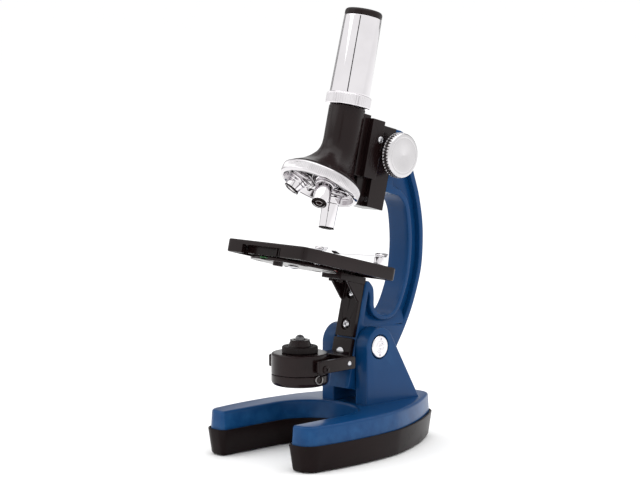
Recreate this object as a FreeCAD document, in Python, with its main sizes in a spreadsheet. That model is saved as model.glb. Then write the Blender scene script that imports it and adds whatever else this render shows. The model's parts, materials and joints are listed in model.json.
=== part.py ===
import FreeCAD, Part
import math
import os
import Sketcher

# Child's microscope, upright at its usual lean. Millimetres, +Z up, the open end
# of the base towards -Y. The origin is the centre of the footprint, on the table.

V = FreeCAD.Vector
doc = FreeCAD.newDocument("KidsMicroscope")

# ---------------------------------------------------------------- driving sizes
dim = doc.addObject("Spreadsheet::Sheet", "dim")
driving_sizes = {
    # base
    "base_top": 22.7, "tray_rim": 13.5, "tray_floor": 0.4, "seat_level": 9.0,
    "tray_lip": 1.45, "casting_draft": 0.9, "tray_draft": 1.8, "shell_wall": 2.6,
    "bay_radius": 24.3, "bay_centre": -20.5, "half_length": 57.05,
    # tilting joint
    "pivot_back": 14.05, "pivot_height": 51.66, "lean_angle": 14.22,
    "upright_half": 16.0, "slot_half": 7.6, "upright_round": 9.9, "upright_front": 4.6,
    "pin_radius": 4.0, "cap_radius": 5.73, "cap_recess": 6.3, "cap_seat": 13.4, "cap_face": 16.25,
    # arm, in its own leaning frame: u backwards, w along the optical tube
    "arm_half": 7.0, "web_half": 3.8, "arm_front": -8.7, "arm_foot": -23.5,
    # stage
    "stage_half": 27.2, "stage_front": -76.8, "stage_back": -9.6,
    "stage_under": 33.1, "stage_top": 39.7, "stage_skin": 1.8, "light_hole": 5.0,
    "bracket_half": 6.2, "bracket_face": -11.1, "bracket_foot": 2.5, "ledge_front": -27.6,
    # optical line
    "optical_axis": -36.9, "tube_radius": 9.2, "tube_top": 115.2, "tube_bore": 8.3,
    "ring_radius": 11.4, "ring_top": 121.2, "chrome_low": 10.2, "chrome_high": 9.5,
    "cap_low": 161.3, "cap_top": 164.6,
    # focusing slide
    "rail_front": -25.0, "rail_face": -17.8, "rail_back": -6.0, "rail_low": 68.3, "rail_high": 110.5,
    "tongue_half": 4.0, "rack_half": 2.4, "rack_slot": 2.6, "carriage_half": 10.0,
    "carriage_low": 82.2, "carriage_high": 112.0, "carriage_front": -30.3, "tooth_module": 0.6,
    "pinion_teeth": 15, "axle_u": -8.6, "axle_w": 96.85, "axle_radius": 2.0,
    "knob_radius": 11.55, "knob_inner": 12.5, "knob_outer": 17.5,
    # nosepiece
    "turret_u": -46.7, "turret_w": 74.4, "turret_slope": 18.0, "turret_radius": 20.6,
    "rim_half": 3.0, "plate_low": 1.0,
    # aperture disc
    "disc_u": -55.2, "disc_radius": 21.5, "disc_low": 31.3, "disc_high": 32.5,
    # slide clips
    "clip_x": 21.0, "clip_u": -17.5, "clip_post": 2.5,
    # lamp
    "lamp_y": -27.2, "lamp_pivot": 45.3, "lamp_radius": 14.3, "lamp_low": 35.9,
    "lamp_seam": 41.5, "lamp_deck": 52.0, "ring_out": 9.0, "cone_low": 55.3, "cone_top": 58.4,
    "led_radius": 2.45, "fork_inner": 15.6, "fork_outer": 18.0, "fork_low": 43.2, "fork_high": 49.6,
}
for row, (name, number) in enumerate(driving_sizes.items(), start=1):
    dim.set(f"A{row}", name)
    dim.set(f"B{row}", str(number))
    dim.setAlias(f"B{row}", name)
doc.recompute()


def size(name):
    return float(dim.get(name))


# ---------------------------------------------------------------- small helpers
nodes = {}
row_frame = FreeCAD.Placement()
arm_frame = FreeCAD.Placement(V(0, size("pivot_back"), size("pivot_height")),
                              FreeCAD.Rotation(V(1, 0, 0), -size("lean_angle")))
turret_frame = arm_frame * FreeCAD.Placement(V(0, size("turret_u"), size("turret_w")),
                                             FreeCAD.Rotation(V(1, 0, 0), -size("turret_slope")))
up = FreeCAD.Rotation()
to_right = FreeCAD.Rotation(V(0, 1, 0), 90)
to_left = FreeCAD.Rotation(V(0, 1, 0), -90)
to_front = FreeCAD.Rotation(V(1, 0, 0), 90)
to_below = FreeCAD.Rotation(V(1, 0, 0), 180)
yz_plane = FreeCAD.Placement(V(0, 0, 0), FreeCAD.Rotation(V(1, 1, 1), 120))


def bind(obj, prop, value):
    # A text is an expression on the sheet; a number is a local detail.
    if isinstance(value, str):
        obj.setExpression(prop, value)
    else:
        obj.setExpression(prop, None)
        target = obj
        *path, last = prop.split(".")
        if path:
            placement = obj.Placement
            setattr(placement.Base, last, value)
            obj.Placement = placement
        else:
            setattr(target, last, value)


def node(label, obj, frame=row_frame):
    # The finished piece: its label names its file, and its frame seats it at the end.
    obj.Label = label
    nodes[label] = (obj, frame)
    return obj


def block(name, low, high):
    box = doc.addObject("Part::Box", name)
    for side, axis, lowest, highest in zip(("Length", "Width", "Height"), "xyz", low, high):
        bind(box, side, f"({highest}) - ({lowest})")
        bind(box, f"Placement.Base.{axis}", f"{lowest}")
    return box


def rod(name, centre, turn, radius, length):
    # A round bar that starts at centre and runs along the turned Z axis.
    bar = doc.addObject("Part::Cylinder", name)
    bind(bar, "Radius", radius)
    bind(bar, "Height", length)
    bar.Placement = FreeCAD.Placement(V(*centre), turn)
    return bar


def joined(name, *pieces):
    fuse = doc.addObject("Part::MultiFuse", name)
    fuse.Shapes = list(pieces)
    return fuse


def cut(name, base, *tools):
    result = doc.addObject("Part::Cut", name)
    result.Base = base
    result.Tool = tools[0] if len(tools) == 1 else joined(name + "Tools", *tools)
    return result


def group(name, pieces):
    compound = doc.addObject("Part::Compound", name)
    compound.Links = list(pieces)
    return compound


def closed_outline(sketch, points):
    # Straight-sided closed outline whose corners are bound to the sheet.
    count = len(points)
    corners = [V(10 * math.cos(2 * math.pi * i / count), 10 * math.sin(2 * math.pi * i / count), 0)
               for i in range(count)]
    for i in range(count):
        sketch.addGeometry(Part.LineSegment(corners[i], corners[(i + 1) % count]), False)
    for i in range(count):
        sketch.addConstraint(Sketcher.Constraint("Coincident", i, 2, (i + 1) % count, 1))
    for i, point in enumerate(points):
        for kind, value in zip(("DistanceX", "DistanceY"), point):
            start = 0.0 if isinstance(value, str) else float(value)
            index = sketch.addConstraint(Sketcher.Constraint(kind, -1, 1, i, 1, start))
            if isinstance(value, str):
                sketch.setExpression(f"Constraints[{index}]", value)


def body_sketch(body, plane, points):
    sketch = body.newObject("Sketcher::SketchObject", body.Name + "Sketch")
    origin_plane = next(f for f in body.Origin.OriginFeatures if f.Role == plane)
    sketch.AttachmentSupport = [(origin_plane, "")]
    sketch.MapMode = "FlatFace"
    closed_outline(sketch, points)
    return sketch


def turned(name, profile, centre=(0, 0, 0), turn=up):
    # A lathe-turned piece: profile is (radius, height) round the local Z axis.
    body = doc.addObject("PartDesign::Body", name)
    sketch = body_sketch(body, "XZ_Plane", profile)
    spin = body.newObject("PartDesign::Revolution", name + "Turn")
    spin.Profile = sketch
    spin.ReferenceAxis = (sketch, ["V_Axis"])
    spin.Angle = 360
    body.Placement = FreeCAD.Placement(V(*centre), turn)
    return body


def padded(name, plane, points, length, centre=(0, 0, 0)):
    # A piece pushed out evenly to both sides of one origin plane.
    body = doc.addObject("PartDesign::Body", name)
    sketch = body_sketch(body, plane, points)
    pad = body.newObject("PartDesign::Pad", name + "Pad")
    pad.Profile = sketch
    pad.Midplane = True
    bind(pad, "Length", length)
    body.Placement = FreeCAD.Placement(V(*centre), up)
    return body


def drawn(name, start, strokes, plane=None):
    # A closed outline of lines, arcs and one-curve stretches, in sketch coordinates.
    sketch = doc.addObject("Sketcher::SketchObject", name)
    if plane:
        sketch.Placement = plane
    here = V(*start, 0)
    for kind, *points in strokes:
        points = [V(x, y, 0) for x, y in points]
        if kind == "line":
            curve = Part.LineSegment(here, points[-1])
        elif kind == "arc":
            curve = Part.Arc(here, points[0], points[1])
        else:
            curve = Part.BSplineCurve()
            curve.interpolate([here] + points)
        sketch.addGeometry(curve, False)
        here = points[-1]
    return sketch


def pushed(name, sketch, length, taper=0, back=0):
    push = doc.addObject("Part::Extrusion", name)
    push.Base = sketch
    push.DirMode = "Normal"
    push.Solid = True
    bind(push, "LengthFwd", length)
    bind(push, "LengthRev", back)
    bind(push, "TaperAngle", taper)
    return push


def lifted(obj, height):
    bind(obj, "Placement.Base.z", height)
    return obj


def screws(label, frame, spots, turn, head, shank):
    # Pan-head screws: each spot is the underside of a head, heads along the turned Z.
    bodies = []
    for i, spot in enumerate(spots):
        top = rod(f"{label}Head{i}", spot, turn, head[0], head[1])
        reach = turn.multVec(V(0, 0, -shank[1]))
        stem = rod(f"{label}Stem{i}", V(*spot) + reach, turn, shank[0], shank[1] + head[1] / 2)
        bodies.append(joined(f"{label}Screw{i}", top, stem))
    return node(label, group(label + "Set", bodies), frame)


# ---------------------------------------------------------------- base
def half_outline(edge):
    # Right-hand edge of the casting, from the bay round the prong tip to the back,
    # moved outwards by edge. Each corner is (x, y, the way the wall faces there).
    bay = size("bay_radius") - edge
    tip = -size("half_length") - edge
    corner = max(0.5, 1.8 + edge)

    def moved(x, y, facing):
        way = math.radians(facing)
        return (x + edge * math.cos(way), y + edge * math.sin(way))

    return (bay, size("bay_centre")), [
        ("line", (bay, tip + corner)),
        ("arc", (bay + 0.29 * corner, tip + 0.29 * corner), (bay + corner, tip)),
        ("line", moved(30.5, -size("half_length"), -90)),
        ("arc", moved(34.7, -54.6, -46), moved(36.2, -50.3, -10)),
        ("arc", moved(37.9, -25.0, 0), moved(35.4, 5.5, 13)),
        ("arc", moved(27.5, 27.9, 27), moved(13.2, 53.2, 31)),
        ("arc", moved(10.3, 56.0, 60), moved(6.4, size("half_length"), 90)),
    ]


def mirrored(start, strokes):
    # The same strokes walked backwards on the other side of the centre line.
    ends = [start] + [stroke[-1] for stroke in strokes]
    walked = []
    for stroke, before in zip(reversed(strokes), reversed(ends[:-1])):
        middle = [(-x, y) for x, y in stroke[1:-1]]
        walked.append((stroke[0], *middle, (-before[0], before[1])))
    return walked


def base_outline(name, edge):
    start, right = half_outline(edge)
    across = [("line", (-right[-1][-1][0], right[-1][-1][1]))]
    bay = [("arc", (0.0, size("bay_centre") + size("bay_radius") - edge), start)]
    return drawn(name, start, right + across + mirrored(start, right) + bay)


def layered(name, *levels):
    # A solid whose outline grows or shrinks from level to level, each (edge, height).
    loft = doc.addObject("Part::Loft", name)
    loft.Sections = [lifted(base_outline(f"{name}Edge{i}", edge), level)
                     for i, (edge, level) in enumerate(levels)]
    loft.Solid = True
    loft.Ruled = True
    return loft


draft = size("casting_draft")
lip = 0.67 * draft + size("tray_lip")
foot = lip - size("tray_draft")
wall = size("shell_wall")
casting_block = layered("CastingBlock", (draft, "dim.seat_level"), (0.1, "dim.base_top - 1.5"),
                        (-0.15, "dim.base_top - 0.7"), (-0.6, "dim.base_top - 0.2"), (-1.3, "dim.base_top"))
casting_hollow = layered("CastingHollow", (-wall, "dim.seat_level - 1"), (-wall - 0.6, "dim.base_top - dim.shell_wall"))
round_y = size("upright_front") + size("upright_round")
round_z = size("pivot_height") - 0.16
slope = math.radians(31.24)
tangent = (round_y + size("upright_round") * math.cos(slope), round_z + size("upright_round") * math.sin(slope))
root = size("base_top") - 2.0
upright_side = drawn("UprightSide", (size("upright_front"), root), [
    ("line", (size("upright_front"), round_z)),
    ("arc", (round_y, round_z + size("upright_round")), tangent),
    ("line", (tangent[0] + (tangent[1] - root) * math.tan(slope), root)),
    ("line", (size("upright_front"), root)),
], yz_plane)
uprights = pushed("Uprights", upright_side, "dim.upright_half", 0, "dim.upright_half")
arm_slot = block("ArmSlot", ("-dim.slot_half", "0", "dim.base_top"), ("dim.slot_half", "60", "70"))
pin_hole = rod("PinHole", (-20, size("pivot_back"), size("pivot_height")), to_right, "dim.pin_radius + 0.03", 40)
recess_left = rod("RecessLeft", (-20, size("pivot_back"), size("pivot_height")), to_right,
                  "dim.cap_recess", "20 - dim.cap_seat")
recess_right = rod("RecessRight", (size("cap_seat"), size("pivot_back"), size("pivot_height")), to_right,
                   "dim.cap_recess", 8)
boss_spots = [(30.5, -44), (-30.5, -44), (12.5, 38), (-12.5, 38)]
bosses = [rod(f"Boss{i}", (x, y, 6.0), up, 3.2, 15.0) for i, (x, y) in enumerate(boss_spots)]
boss_holes = [rod(f"BossHole{i}", (x, y, 5.0), up, 1.55, 11.0) for i, (x, y) in enumerate(boss_spots)]
shell = cut("CastingShell", casting_block, casting_hollow)
feet_and_legs = joined("CastingJoined", shell, uprights, *bosses)
node("base_casting", cut("BaseCasting", feet_and_legs, arm_slot, pin_hole, recess_left, recess_right, *boss_holes))

tray_block = layered("TrayBlock", (foot - 1.0, "dim.tray_floor"), (foot - 0.3, "dim.tray_floor + 0.3"),
                     (foot + 0.1, "dim.tray_floor + 1"), (lip, "dim.tray_rim - 0.4"), (lip - 0.4, "dim.tray_rim"))
tray_seat = layered("TraySeat", (draft + 0.1, "dim.seat_level"), (draft + 0.1, "dim.tray_rim + 2"))
tray_hollow = layered("TrayHollow", (-wall, 2.6), (-wall, "dim.tray_rim + 2"))
tray_posts = [rod(f"TrayPost{i}", (x, y, 2.0), up, 3.2, 3.95) for i, (x, y) in enumerate(boss_spots)]
tray_holes = [rod(f"TrayHole{i}", (x, y, -1.0), up, 1.7, 12.0) for i, (x, y) in enumerate(boss_spots)]
head_holes = [rod(f"HeadHole{i}", (x, y, -1.0), up, 3.0, 3.2) for i, (x, y) in enumerate(boss_spots)]
pad_spots = [(30.5, -33), (-30.5, -33), (22.0, 26), (-22.0, 26)]
pad_seats = [rod(f"PadSeat{i}", (x, y, -1.0), up, 4.55, 2.0) for i, (x, y) in enumerate(pad_spots)]
tray_shell = cut("TrayShell", tray_block, tray_seat, tray_hollow)
node("base_tray", cut("BaseTray", joined("TrayJoined", tray_shell, *tray_posts), *tray_holes, *head_holes, *pad_seats))
node("base_pads", group("Pads", [rod(f"Pad{i}", (x, y, 0), up, 4.5, 1.0) for i, (x, y) in enumerate(pad_spots)]))
screws("base_screws", row_frame, [(x, y, 2.2) for x, y in boss_spots], to_below, (2.7, 1.4), (1.5, 11.5))

# ---------------------------------------------------------------- tilting joint
node("pivot_pin", rod("PivotPin", (-size("cap_seat"), size("pivot_back"), size("pivot_height")), to_right,
                      "dim.pin_radius", "2 * dim.cap_seat"))
cap_thick = size("cap_face") - size("cap_seat")
cap_profile = [(0, 0), ("dim.cap_radius", 0), ("dim.cap_radius", cap_thick - 0.35),
               ("dim.cap_radius - 0.35", cap_thick), (3.0, cap_thick), (2.8, cap_thick + 0.25),
               (2.1, cap_thick + 0.25), (1.9, cap_thick), (1.3, cap_thick), (0.9, cap_thick + 0.4),
               (0, cap_thick + 0.4)]


def pivot_cap(side, turn):
    seat = (side * size("cap_seat"), size("pivot_back"), size("pivot_height"))
    disc = turned(f"CapDisc{side + 1}", cap_profile, seat, turn)
    holes = [rod(f"CapHole{side + 1}{end + 1}", (side * 20, seat[1], seat[2] + end * 4.1),
                 to_left if side > 0 else to_right, 0.7, 20 - size("cap_face") + 1.0) for end in (-1, 1)]
    return cut(f"CapCut{side + 1}", disc, *holes)


node("pivot_caps", group("PivotCaps", [pivot_cap(1, to_right), pivot_cap(-1, to_left)]))
washer_profile = [(4.2, 0), (8.2, 0), (8.2, 0.4), (4.2, 0.4)]
node("pivot_washers", group("PivotWashers", [
    turned(f"Washer{i}", washer_profile, (x, size("pivot_back"), size("pivot_height")), to_right)
    for i, x in enumerate((-size("slot_half"), size("slot_half") - 0.4))]))

# ---------------------------------------------------------------- arm
front = size("arm_front")
arm_side = drawn("ArmSide", (front, size("arm_foot")), [
    ("line", (front, 31.8)),
    ("line", (-6.3, 31.8)),
    ("spline", (-2.2, 28.9), (-0.7, 24.5), (0.6, 19.8), (4.0, 17.2), (8.0, 16.5), (12.5, 17.5),
     (16.2, 21.0), (18.6, 28.5), (19.9, 40.0), (18.1, 54.6), (13.5, 68.5), (9.3, 75.1), (4.5, 78.0)),
    ("line", (size("rail_back"), 78.1)),
    ("line", (size("rail_back"), size("rail_high"))),
    ("line", (-1.2, size("rail_high"))),
    ("spline", (6.3, 101.5), (13.3, 91.0), (19.7, 81.3), (25.5, 69.3), (28.9, 58.0), (30.9, 46.0),
     (30.6, 35.0), (28.9, 23.0), (26.0, 12.0), (22.6, 2.5), (17.0, -13.0), (11.0, size("arm_foot"))),
    ("line", (front, size("arm_foot"))),
], yz_plane)
arm_plate = pushed("ArmPlate", arm_side, "dim.arm_half", 0, "dim.arm_half")
recess_side = drawn("RecessSide", (-5.4, 26.6), [
    ("spline", (-4.0, 24.6), (-2.6, 19.5), (1.5, 15.2), (8.0, 14.1), (14.6, 16.1), (18.7, 20.5),
     (21.2, 28.5), (22.4, 40.0), (20.7, 55.0), (16.0, 69.4), (11.2, 77.3), (4.8, 81.2)),
    ("line", (-1.5, 82.0)),
    ("line", (-1.5, 103.0)),
    ("spline", (4.6, 97.8), (11.0, 89.0), (17.3, 79.6), (22.9, 68.0), (26.2, 57.2), (28.2, 45.5),
     (27.9, 35.5), (26.3, 24.0), (23.9, 14.5)),
    ("line", (20.0, 13.4)),
    ("line", (0.0, 10.4)),
    ("line", (-5.4, 13.0)),
    ("line", (-5.4, 26.6)),
], yz_plane)
recess_depth = "dim.arm_half - dim.web_half"
recess_right_cut = pushed("RecessRightCut", recess_side, recess_depth)
recess_right_cut.Placement.Base = V(size("web_half"), 0, 0)
recess_left_cut = pushed("RecessLeftCut", recess_side, recess_depth)
recess_left_cut.Placement.Base = V(-size("arm_half"), 0, 0)


def shoulder(name, side):
    # Sloping step from the web of the arm out to the full-width pivot boss.
    wide = side * (size("arm_half") + 0.5)
    web = side * (size("web_half") - 0.1)
    corners = [V(wide, -12, 0), V(wide, 30, 0), V(web, 30, 0), V(web, -12, 0)]
    low = [V(c.x, c.y, 4.0 + 0.2534 * c.y) for c in corners]
    rise = [11.2, 11.2, 16.6, 16.6]
    high = [V(c.x, c.y, top + 0.2534 * c.y) for c, top in zip(corners, rise)]
    faces = [low, high] + [[low[i], low[(i + 1) % 4], high[(i + 1) % 4], high[i]] for i in range(4)]
    shell_of = Part.Shell([Part.Face(Part.makePolygon(ring + ring[:1])) for ring in faces])
    wedge = doc.addObject("Part::Feature", name)
    wedge.Shape = Part.Solid(shell_of)
    return wedge


recess_cuts = cut("RecessCuts", joined("RecessPair", recess_right_cut, recess_left_cut),
                  shoulder("ShoulderRight", 1), shoulder("ShoulderLeft", -1))
pivot_bore = rod("PivotBore", (-10, 0, 0), to_right, "dim.pin_radius + 0.05", 20)
pinion_pocket = rod("PinionPocket", (-size("rack_slot"), size("axle_u"), size("axle_w")), to_right,
                    5.9, "2 * dim.rack_slot")
axle_relief = rod("AxleRelief", (-10, size("axle_u"), size("axle_w")), to_right, "dim.axle_radius + 0.6", 20)
bracket_screw_heights = (8.7, 24.8)
arm_taps = [rod(f"ArmTap{i}", (0, front - 1, w), FreeCAD.Rotation(V(1, 0, 0), -90), 1.55, 9.0)
            for i, w in enumerate((*bracket_screw_heights, -6.0))]
rail_screw_spots = [(x, w) for x in (-5.5, 5.5) for w in (72.0, 107.0)]
rail_taps = [rod(f"RailTap{i}", (x, -30, w), FreeCAD.Rotation(V(1, 0, 0), -90), 0.95, 30.0)
             for i, (x, w) in enumerate(rail_screw_spots)]
node("arm_casting", cut("ArmCasting", arm_plate, recess_cuts, pivot_bore, pinion_pocket, axle_relief,
                        *arm_taps, *[rail_taps[1], rail_taps[3]]), arm_frame)

# ---------------------------------------------------------------- stage and its bracket
bracket_plate = block("BracketPlate", ("-dim.bracket_half", "dim.bracket_face", "dim.bracket_foot"),
                      ("dim.bracket_half", "dim.arm_front", "dim.stage_under"))
ledge = block("Ledge", ("-dim.bracket_half - 0.5", "dim.ledge_front", "29.6"),
              ("dim.bracket_half + 0.5", "dim.arm_front", "dim.stage_under"))
gussets = [padded(f"Gusset{i}", "YZ_Plane", [("dim.bracket_face + 0.5", 20.4), ("dim.bracket_face + 0.5", 30.0),
                                            (-21.5, 30.0), (-20.6, 28.6), (-12.0, 21.0)], 1.4, (x, 0, 0))
           for i, x in enumerate((-5.5, 5.5))]
plate_holes = [rod(f"PlateHole{i}", (0, front + 1, w), to_front, 1.7, 10.0)
               for i, w in enumerate(bracket_screw_heights)]
plate_sinks = [rod(f"PlateSink{i}", (0, size("bracket_face") + 1.2, w), to_front, 3.0, 6.0)
               for i, w in enumerate(bracket_screw_heights)]
stage_screw_spots = [(-2.8, -16.5), (2.8, -16.5), (-2.8, -23.5), (2.8, -23.5)]
ledge_holes = [rod(f"LedgeHole{i}", (x, u, 25.0), up, 1.3, 12.0) for i, (x, u) in enumerate(stage_screw_spots)]
node("stage_bracket", cut("StageBracket", joined("BracketBody", bracket_plate, ledge, *gussets),
                          *plate_holes, *plate_sinks, *ledge_holes), arm_frame)
screws("bracket_screws", arm_frame, [(0, size("bracket_face") + 1.2, w) for w in bracket_screw_heights],
       to_front, (2.1, 1.5), (1.5, 9.0))

stage_box = block("StageBox", ("-dim.stage_half", "dim.stage_front", "dim.stage_under"),
                  ("dim.stage_half", "dim.stage_back", "dim.stage_top"))
doc.recompute()
stage_round = doc.addObject("Part::Fillet", "StageRound")
stage_round.Base = stage_box
stage_round.Edges = [(i + 1, 3.0, 3.0) for i, edge in enumerate(stage_box.Shape.Edges)
                     if edge.BoundBox.ZLength > 6.0]
stage_hollow = block("StageHollow",
                     ("dim.stage_skin - dim.stage_half", "dim.stage_front + dim.stage_skin", "dim.stage_under - 1"),
                     ("dim.stage_half - dim.stage_skin", "dim.stage_back - dim.stage_skin",
                      "dim.stage_top - dim.stage_skin"))
notch = block("FrontNotch", ("-15.7", "dim.stage_front - 1", "dim.stage_under - 1"),
              ("11", "dim.stage_front + dim.stage_skin + 0.2", "37.5"))
stage_bosses = [rod(f"StageBoss{i}", (x, u, size("stage_under")), up, 2.6, 5.0)
                for i, (x, u) in enumerate(stage_screw_spots)]
disc_boss = rod("DiscBoss", (0, size("disc_u"), size("disc_high") + 0.15), up, 3.2, 5.6)
grip_ribs = [block(f"GripRib{i}", (f"{x}", "dim.stage_front + 2.6", "34.2"), (f"{x + 0.6}", "dim.stage_front + 4.4", "38.2"))
             for i, x in enumerate((5.6, 7.4, 9.2))]
light_well = rod("LightWell", (0, size("optical_axis"), 30.0), up, "dim.light_hole", 12.0)
clip_wells = [rod(f"ClipWell{i}", (side * size("clip_x"), size("clip_u"), 30.0), up, 1.85, 12.0)
              for i, side in enumerate((-1, 1))]
boss_taps = [rod(f"StageTap{i}", (x, u, 30.0), up, 1.15, 7.0) for i, (x, u) in enumerate(stage_screw_spots)]
disc_tap = rod("DiscTap", (0, size("disc_u"), 30.0), up, 1.53, 7.9)
stage_shell = cut("StageShell", stage_round, stage_hollow, notch)
node("stage", cut("Stage", joined("StageBody", stage_shell, disc_boss, *stage_bosses, *grip_ribs),
                  light_well, *clip_wells, *boss_taps, disc_tap), arm_frame)
screws("stage_screws", arm_frame, [(x, u, 29.6) for x, u in stage_screw_spots], to_below, (1.7, 1.2), (1.1, 7.0))

# ---------------------------------------------------------------- aperture disc
hole_circle = size("optical_axis") - size("disc_u")
openings = [(0, 3.4), (60, 3.4), (120, 2.6), (180, 3.4), (240, 1.8), (300, 3.4)]


def on_disc(angle, height):
    turn = math.radians(angle)
    return (hole_circle * math.sin(turn), size("disc_u") + hole_circle * math.cos(turn), height)


disc_plate = rod("DiscPlate", (0, size("disc_u"), size("disc_low")), up, "dim.disc_radius", "dim.disc_high - dim.disc_low")
thumb_peg = rod("ThumbPeg", (0, -66.0, size("disc_low") - 1.8), up, 2.5, 2.5)
disc_holes = [rod(f"DiscHole{a}", on_disc(a, 30.0), up, r, 5.0) for a, r in openings]
filter_seats = [rod(f"FilterSeat{a}", on_disc(a, size("disc_high") - 0.6), up, 4.2, 2.0) for a in (60, 180, 300)]
disc_bore = rod("DiscBore", (0, size("disc_u"), 28.0), up, 1.57, 8.0)
node("aperture_disc", cut("ApertureDisc", joined("DiscBody", disc_plate, thumb_peg),
                          disc_bore, *disc_holes, *filter_seats), arm_frame)
for colour, angle in (("red", 60), ("green", 180), ("blue", 300)):
    node(f"filter_{colour}", rod(f"Filter{colour.title()}", on_disc(angle, size("disc_high") - 0.6), up, 4.15, 0.5), arm_frame)
screws("disc_screw", arm_frame, [(0, size("disc_u"), size("disc_low") - 0.12)], to_below, (2.6, 1.4), (1.5, 6.5))

# ---------------------------------------------------------------- slide clips
clip_path = [(-13.6, 45.9), (-14.9, 43.9), (-20.2, 43.9), (-46.0, 40.6), (-51.5, 43.1)]


def strip_outline(path, thick):
    # A bent strip of even thickness seen from its edge: down one side, back the other.
    lower = [(u, w - thick / 2) for u, w in path]
    upper = [(u, w + thick / 2) for u, w in reversed(path)]
    return lower + upper


for word, side in (("left", -1), ("right", 1)):
    at = (side * size("clip_x"), size("clip_u"), 0)
    name = word.title()
    neck, foot, head = 1.2, 1.8, "dim.clip_post"
    post = turned(f"Post{name}", [(0, 36.2), (foot, 36.2), (foot, 39.8), (head, 39.8), (head, 43.5), (neck, 43.5),
                                  (neck, 44.3), (head, 44.3), (head, 45.0), (1.6, 45.6), (0, 45.8)], at)
    node(f"clip_post_{word}", post, arm_frame)
    strip = padded(f"Strip{name}", "YZ_Plane", strip_outline(clip_path, 0.5), 4.4, (at[0], 0, 0))
    eye = rod(f"StripEye{name}", (at[0], at[1], 42.0), up, neck + 0.02, 4.0)
    node(f"clip_spring_{word}", cut(f"Clip{name}", strip, eye), arm_frame)

# ---------------------------------------------------------------- focusing slide
tooth = size("tooth_module")
pitch = math.pi * tooth
pinion_r = tooth * size("pinion_teeth") / 2
pitch_line = size("axle_u") - pinion_r
rack_root = pitch_line - 1.0 * tooth
rail_block = block("RailBlock", ("-dim.arm_half", "dim.rail_face", "dim.rail_low"),
                   ("dim.arm_half", "dim.rail_back", "dim.rail_high"))
tongue = block("Tongue", ("-dim.tongue_half", "dim.rail_front", "dim.rail_low"),
               ("dim.tongue_half", "dim.rail_face", "dim.rail_high"))
rack_way = block("RackWay", ("-dim.rack_slot", "dim.rail_front - 1", "dim.rail_low + 3"),
                 ("dim.rack_slot", f"{pitch_line + 1.6}", "dim.rail_high + 1"))
rail_pocket = rod("RailPocket", (-size("rack_slot"), size("axle_u"), size("axle_w")), to_right,
                  5.9, "2 * dim.rack_slot")
axle_bore = rod("AxleBore", (-10, size("axle_u"), size("axle_w")), to_right, "dim.axle_radius + 0.05", 20)
rail_sinks = [rod(f"RailSink{i}", (x, size("rail_face") + 1.3, w), to_front, 1.45, 3.0)
              for i, (x, w) in enumerate(rail_screw_spots)]
node("focus_rail", cut("FocusRail", joined("RailBody", rail_block, tongue),
                       rack_way, rail_pocket, axle_bore, *rail_sinks,
                       *[rod(f"RailBore{i}", (x, -30, w), FreeCAD.Rotation(V(1, 0, 0), -90), 0.95, 30.0)
                         for i, (x, w) in enumerate(rail_screw_spots)]), arm_frame)
screws("rail_screws", arm_frame, [(x, size("rail_face") + 1.3, w) for x, w in rail_screw_spots],
       to_front, (1.4, 1.0), (0.9, 7.5))

outer_block = block("CarriageOuter", ("-dim.carriage_half", "dim.rail_front - 2", "dim.carriage_low"),
                    ("dim.carriage_half", "dim.rail_face - 0.3", "dim.carriage_high"))
neck_block = block("CarriageNeck", ("-dim.arm_half", "-36", "dim.carriage_low"),
                   ("dim.arm_half", "dim.rail_front - 1", "113.5"))
tongue_way = block("TongueWay", ("-dim.tongue_half - 0.25", "dim.rail_front - 0.3", "dim.carriage_low - 1"),
                   ("dim.tongue_half + 0.25", "-10", "dim.carriage_high + 2"))
tube_way = rod("TubeWay", (0, size("optical_axis"), 70), up, "dim.tube_radius", 60)


def rack_bar():
    # Toothed bar between the two legs of the tongue; its teeth face the pinion.
    low = size("carriage_low") + 0.3
    points = [(size("rail_front") - 1.5, low), (rack_root, low)]
    count = int((size("carriage_high") - low) / pitch)
    first = size("axle_w") - round((size("axle_w") - low - pitch) / pitch) * pitch
    for i in range(count - 1):
        middle = first + i * pitch
        points += [(rack_root, middle - 0.36 * pitch), (pitch_line + 0.75 * tooth, middle - 0.12 * pitch),
                   (pitch_line + 0.75 * tooth, middle + 0.12 * pitch), (rack_root, middle + 0.36 * pitch)]
    points += [(rack_root, size("carriage_high") - 0.3), (size("rail_front") - 1.5, size("carriage_high") - 0.3)]
    bar = doc.addObject("Part::Feature", "RackBar")
    ring = [V(-size("rack_half"), u, w) for u, w in points]
    bar.Shape = Part.Face(Part.makePolygon(ring + ring[:1])).extrude(V(2 * size("rack_half"), 0, 0))
    return bar


carriage_walls = cut("CarriageWalls", joined("CarriageBody", outer_block, neck_block), tongue_way, tube_way)
gib_spot = (size("carriage_half"), -19.9, 102.4)
gib_holes = [rod(f"GibHole{side + 1}", (side * 4.0, *gib_spot[1:]), to_right if side > 0 else to_left, 1.05, 8.0)
             for side in (-1, 1)]
node("focus_carriage", cut("FocusCarriage", joined("CarriageAll", carriage_walls, rack_bar()), *gib_holes), arm_frame)
gib_pieces = []
for side, turn in ((1, to_right), (-1, to_left)):
    head = rod(f"GibHead{side + 1}", (side * gib_spot[0], *gib_spot[1:]), turn, 1.7, 1.0)
    stem = rod(f"GibStem{side + 1}", (side * (gib_spot[0] - 4.5), *gib_spot[1:]), turn, 1.0, 5.0)
    gib_pieces.append(joined(f"Gib{side + 1}", head, stem))
node("gib_screws", group("GibScrews", gib_pieces), arm_frame)

node("focus_axle", rod("FocusAxle", (-size("knob_outer") + 1.5, size("axle_u"), size("axle_w")), to_right,
                       "dim.axle_radius", "2 * dim.knob_outer - 3"), arm_frame)


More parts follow.
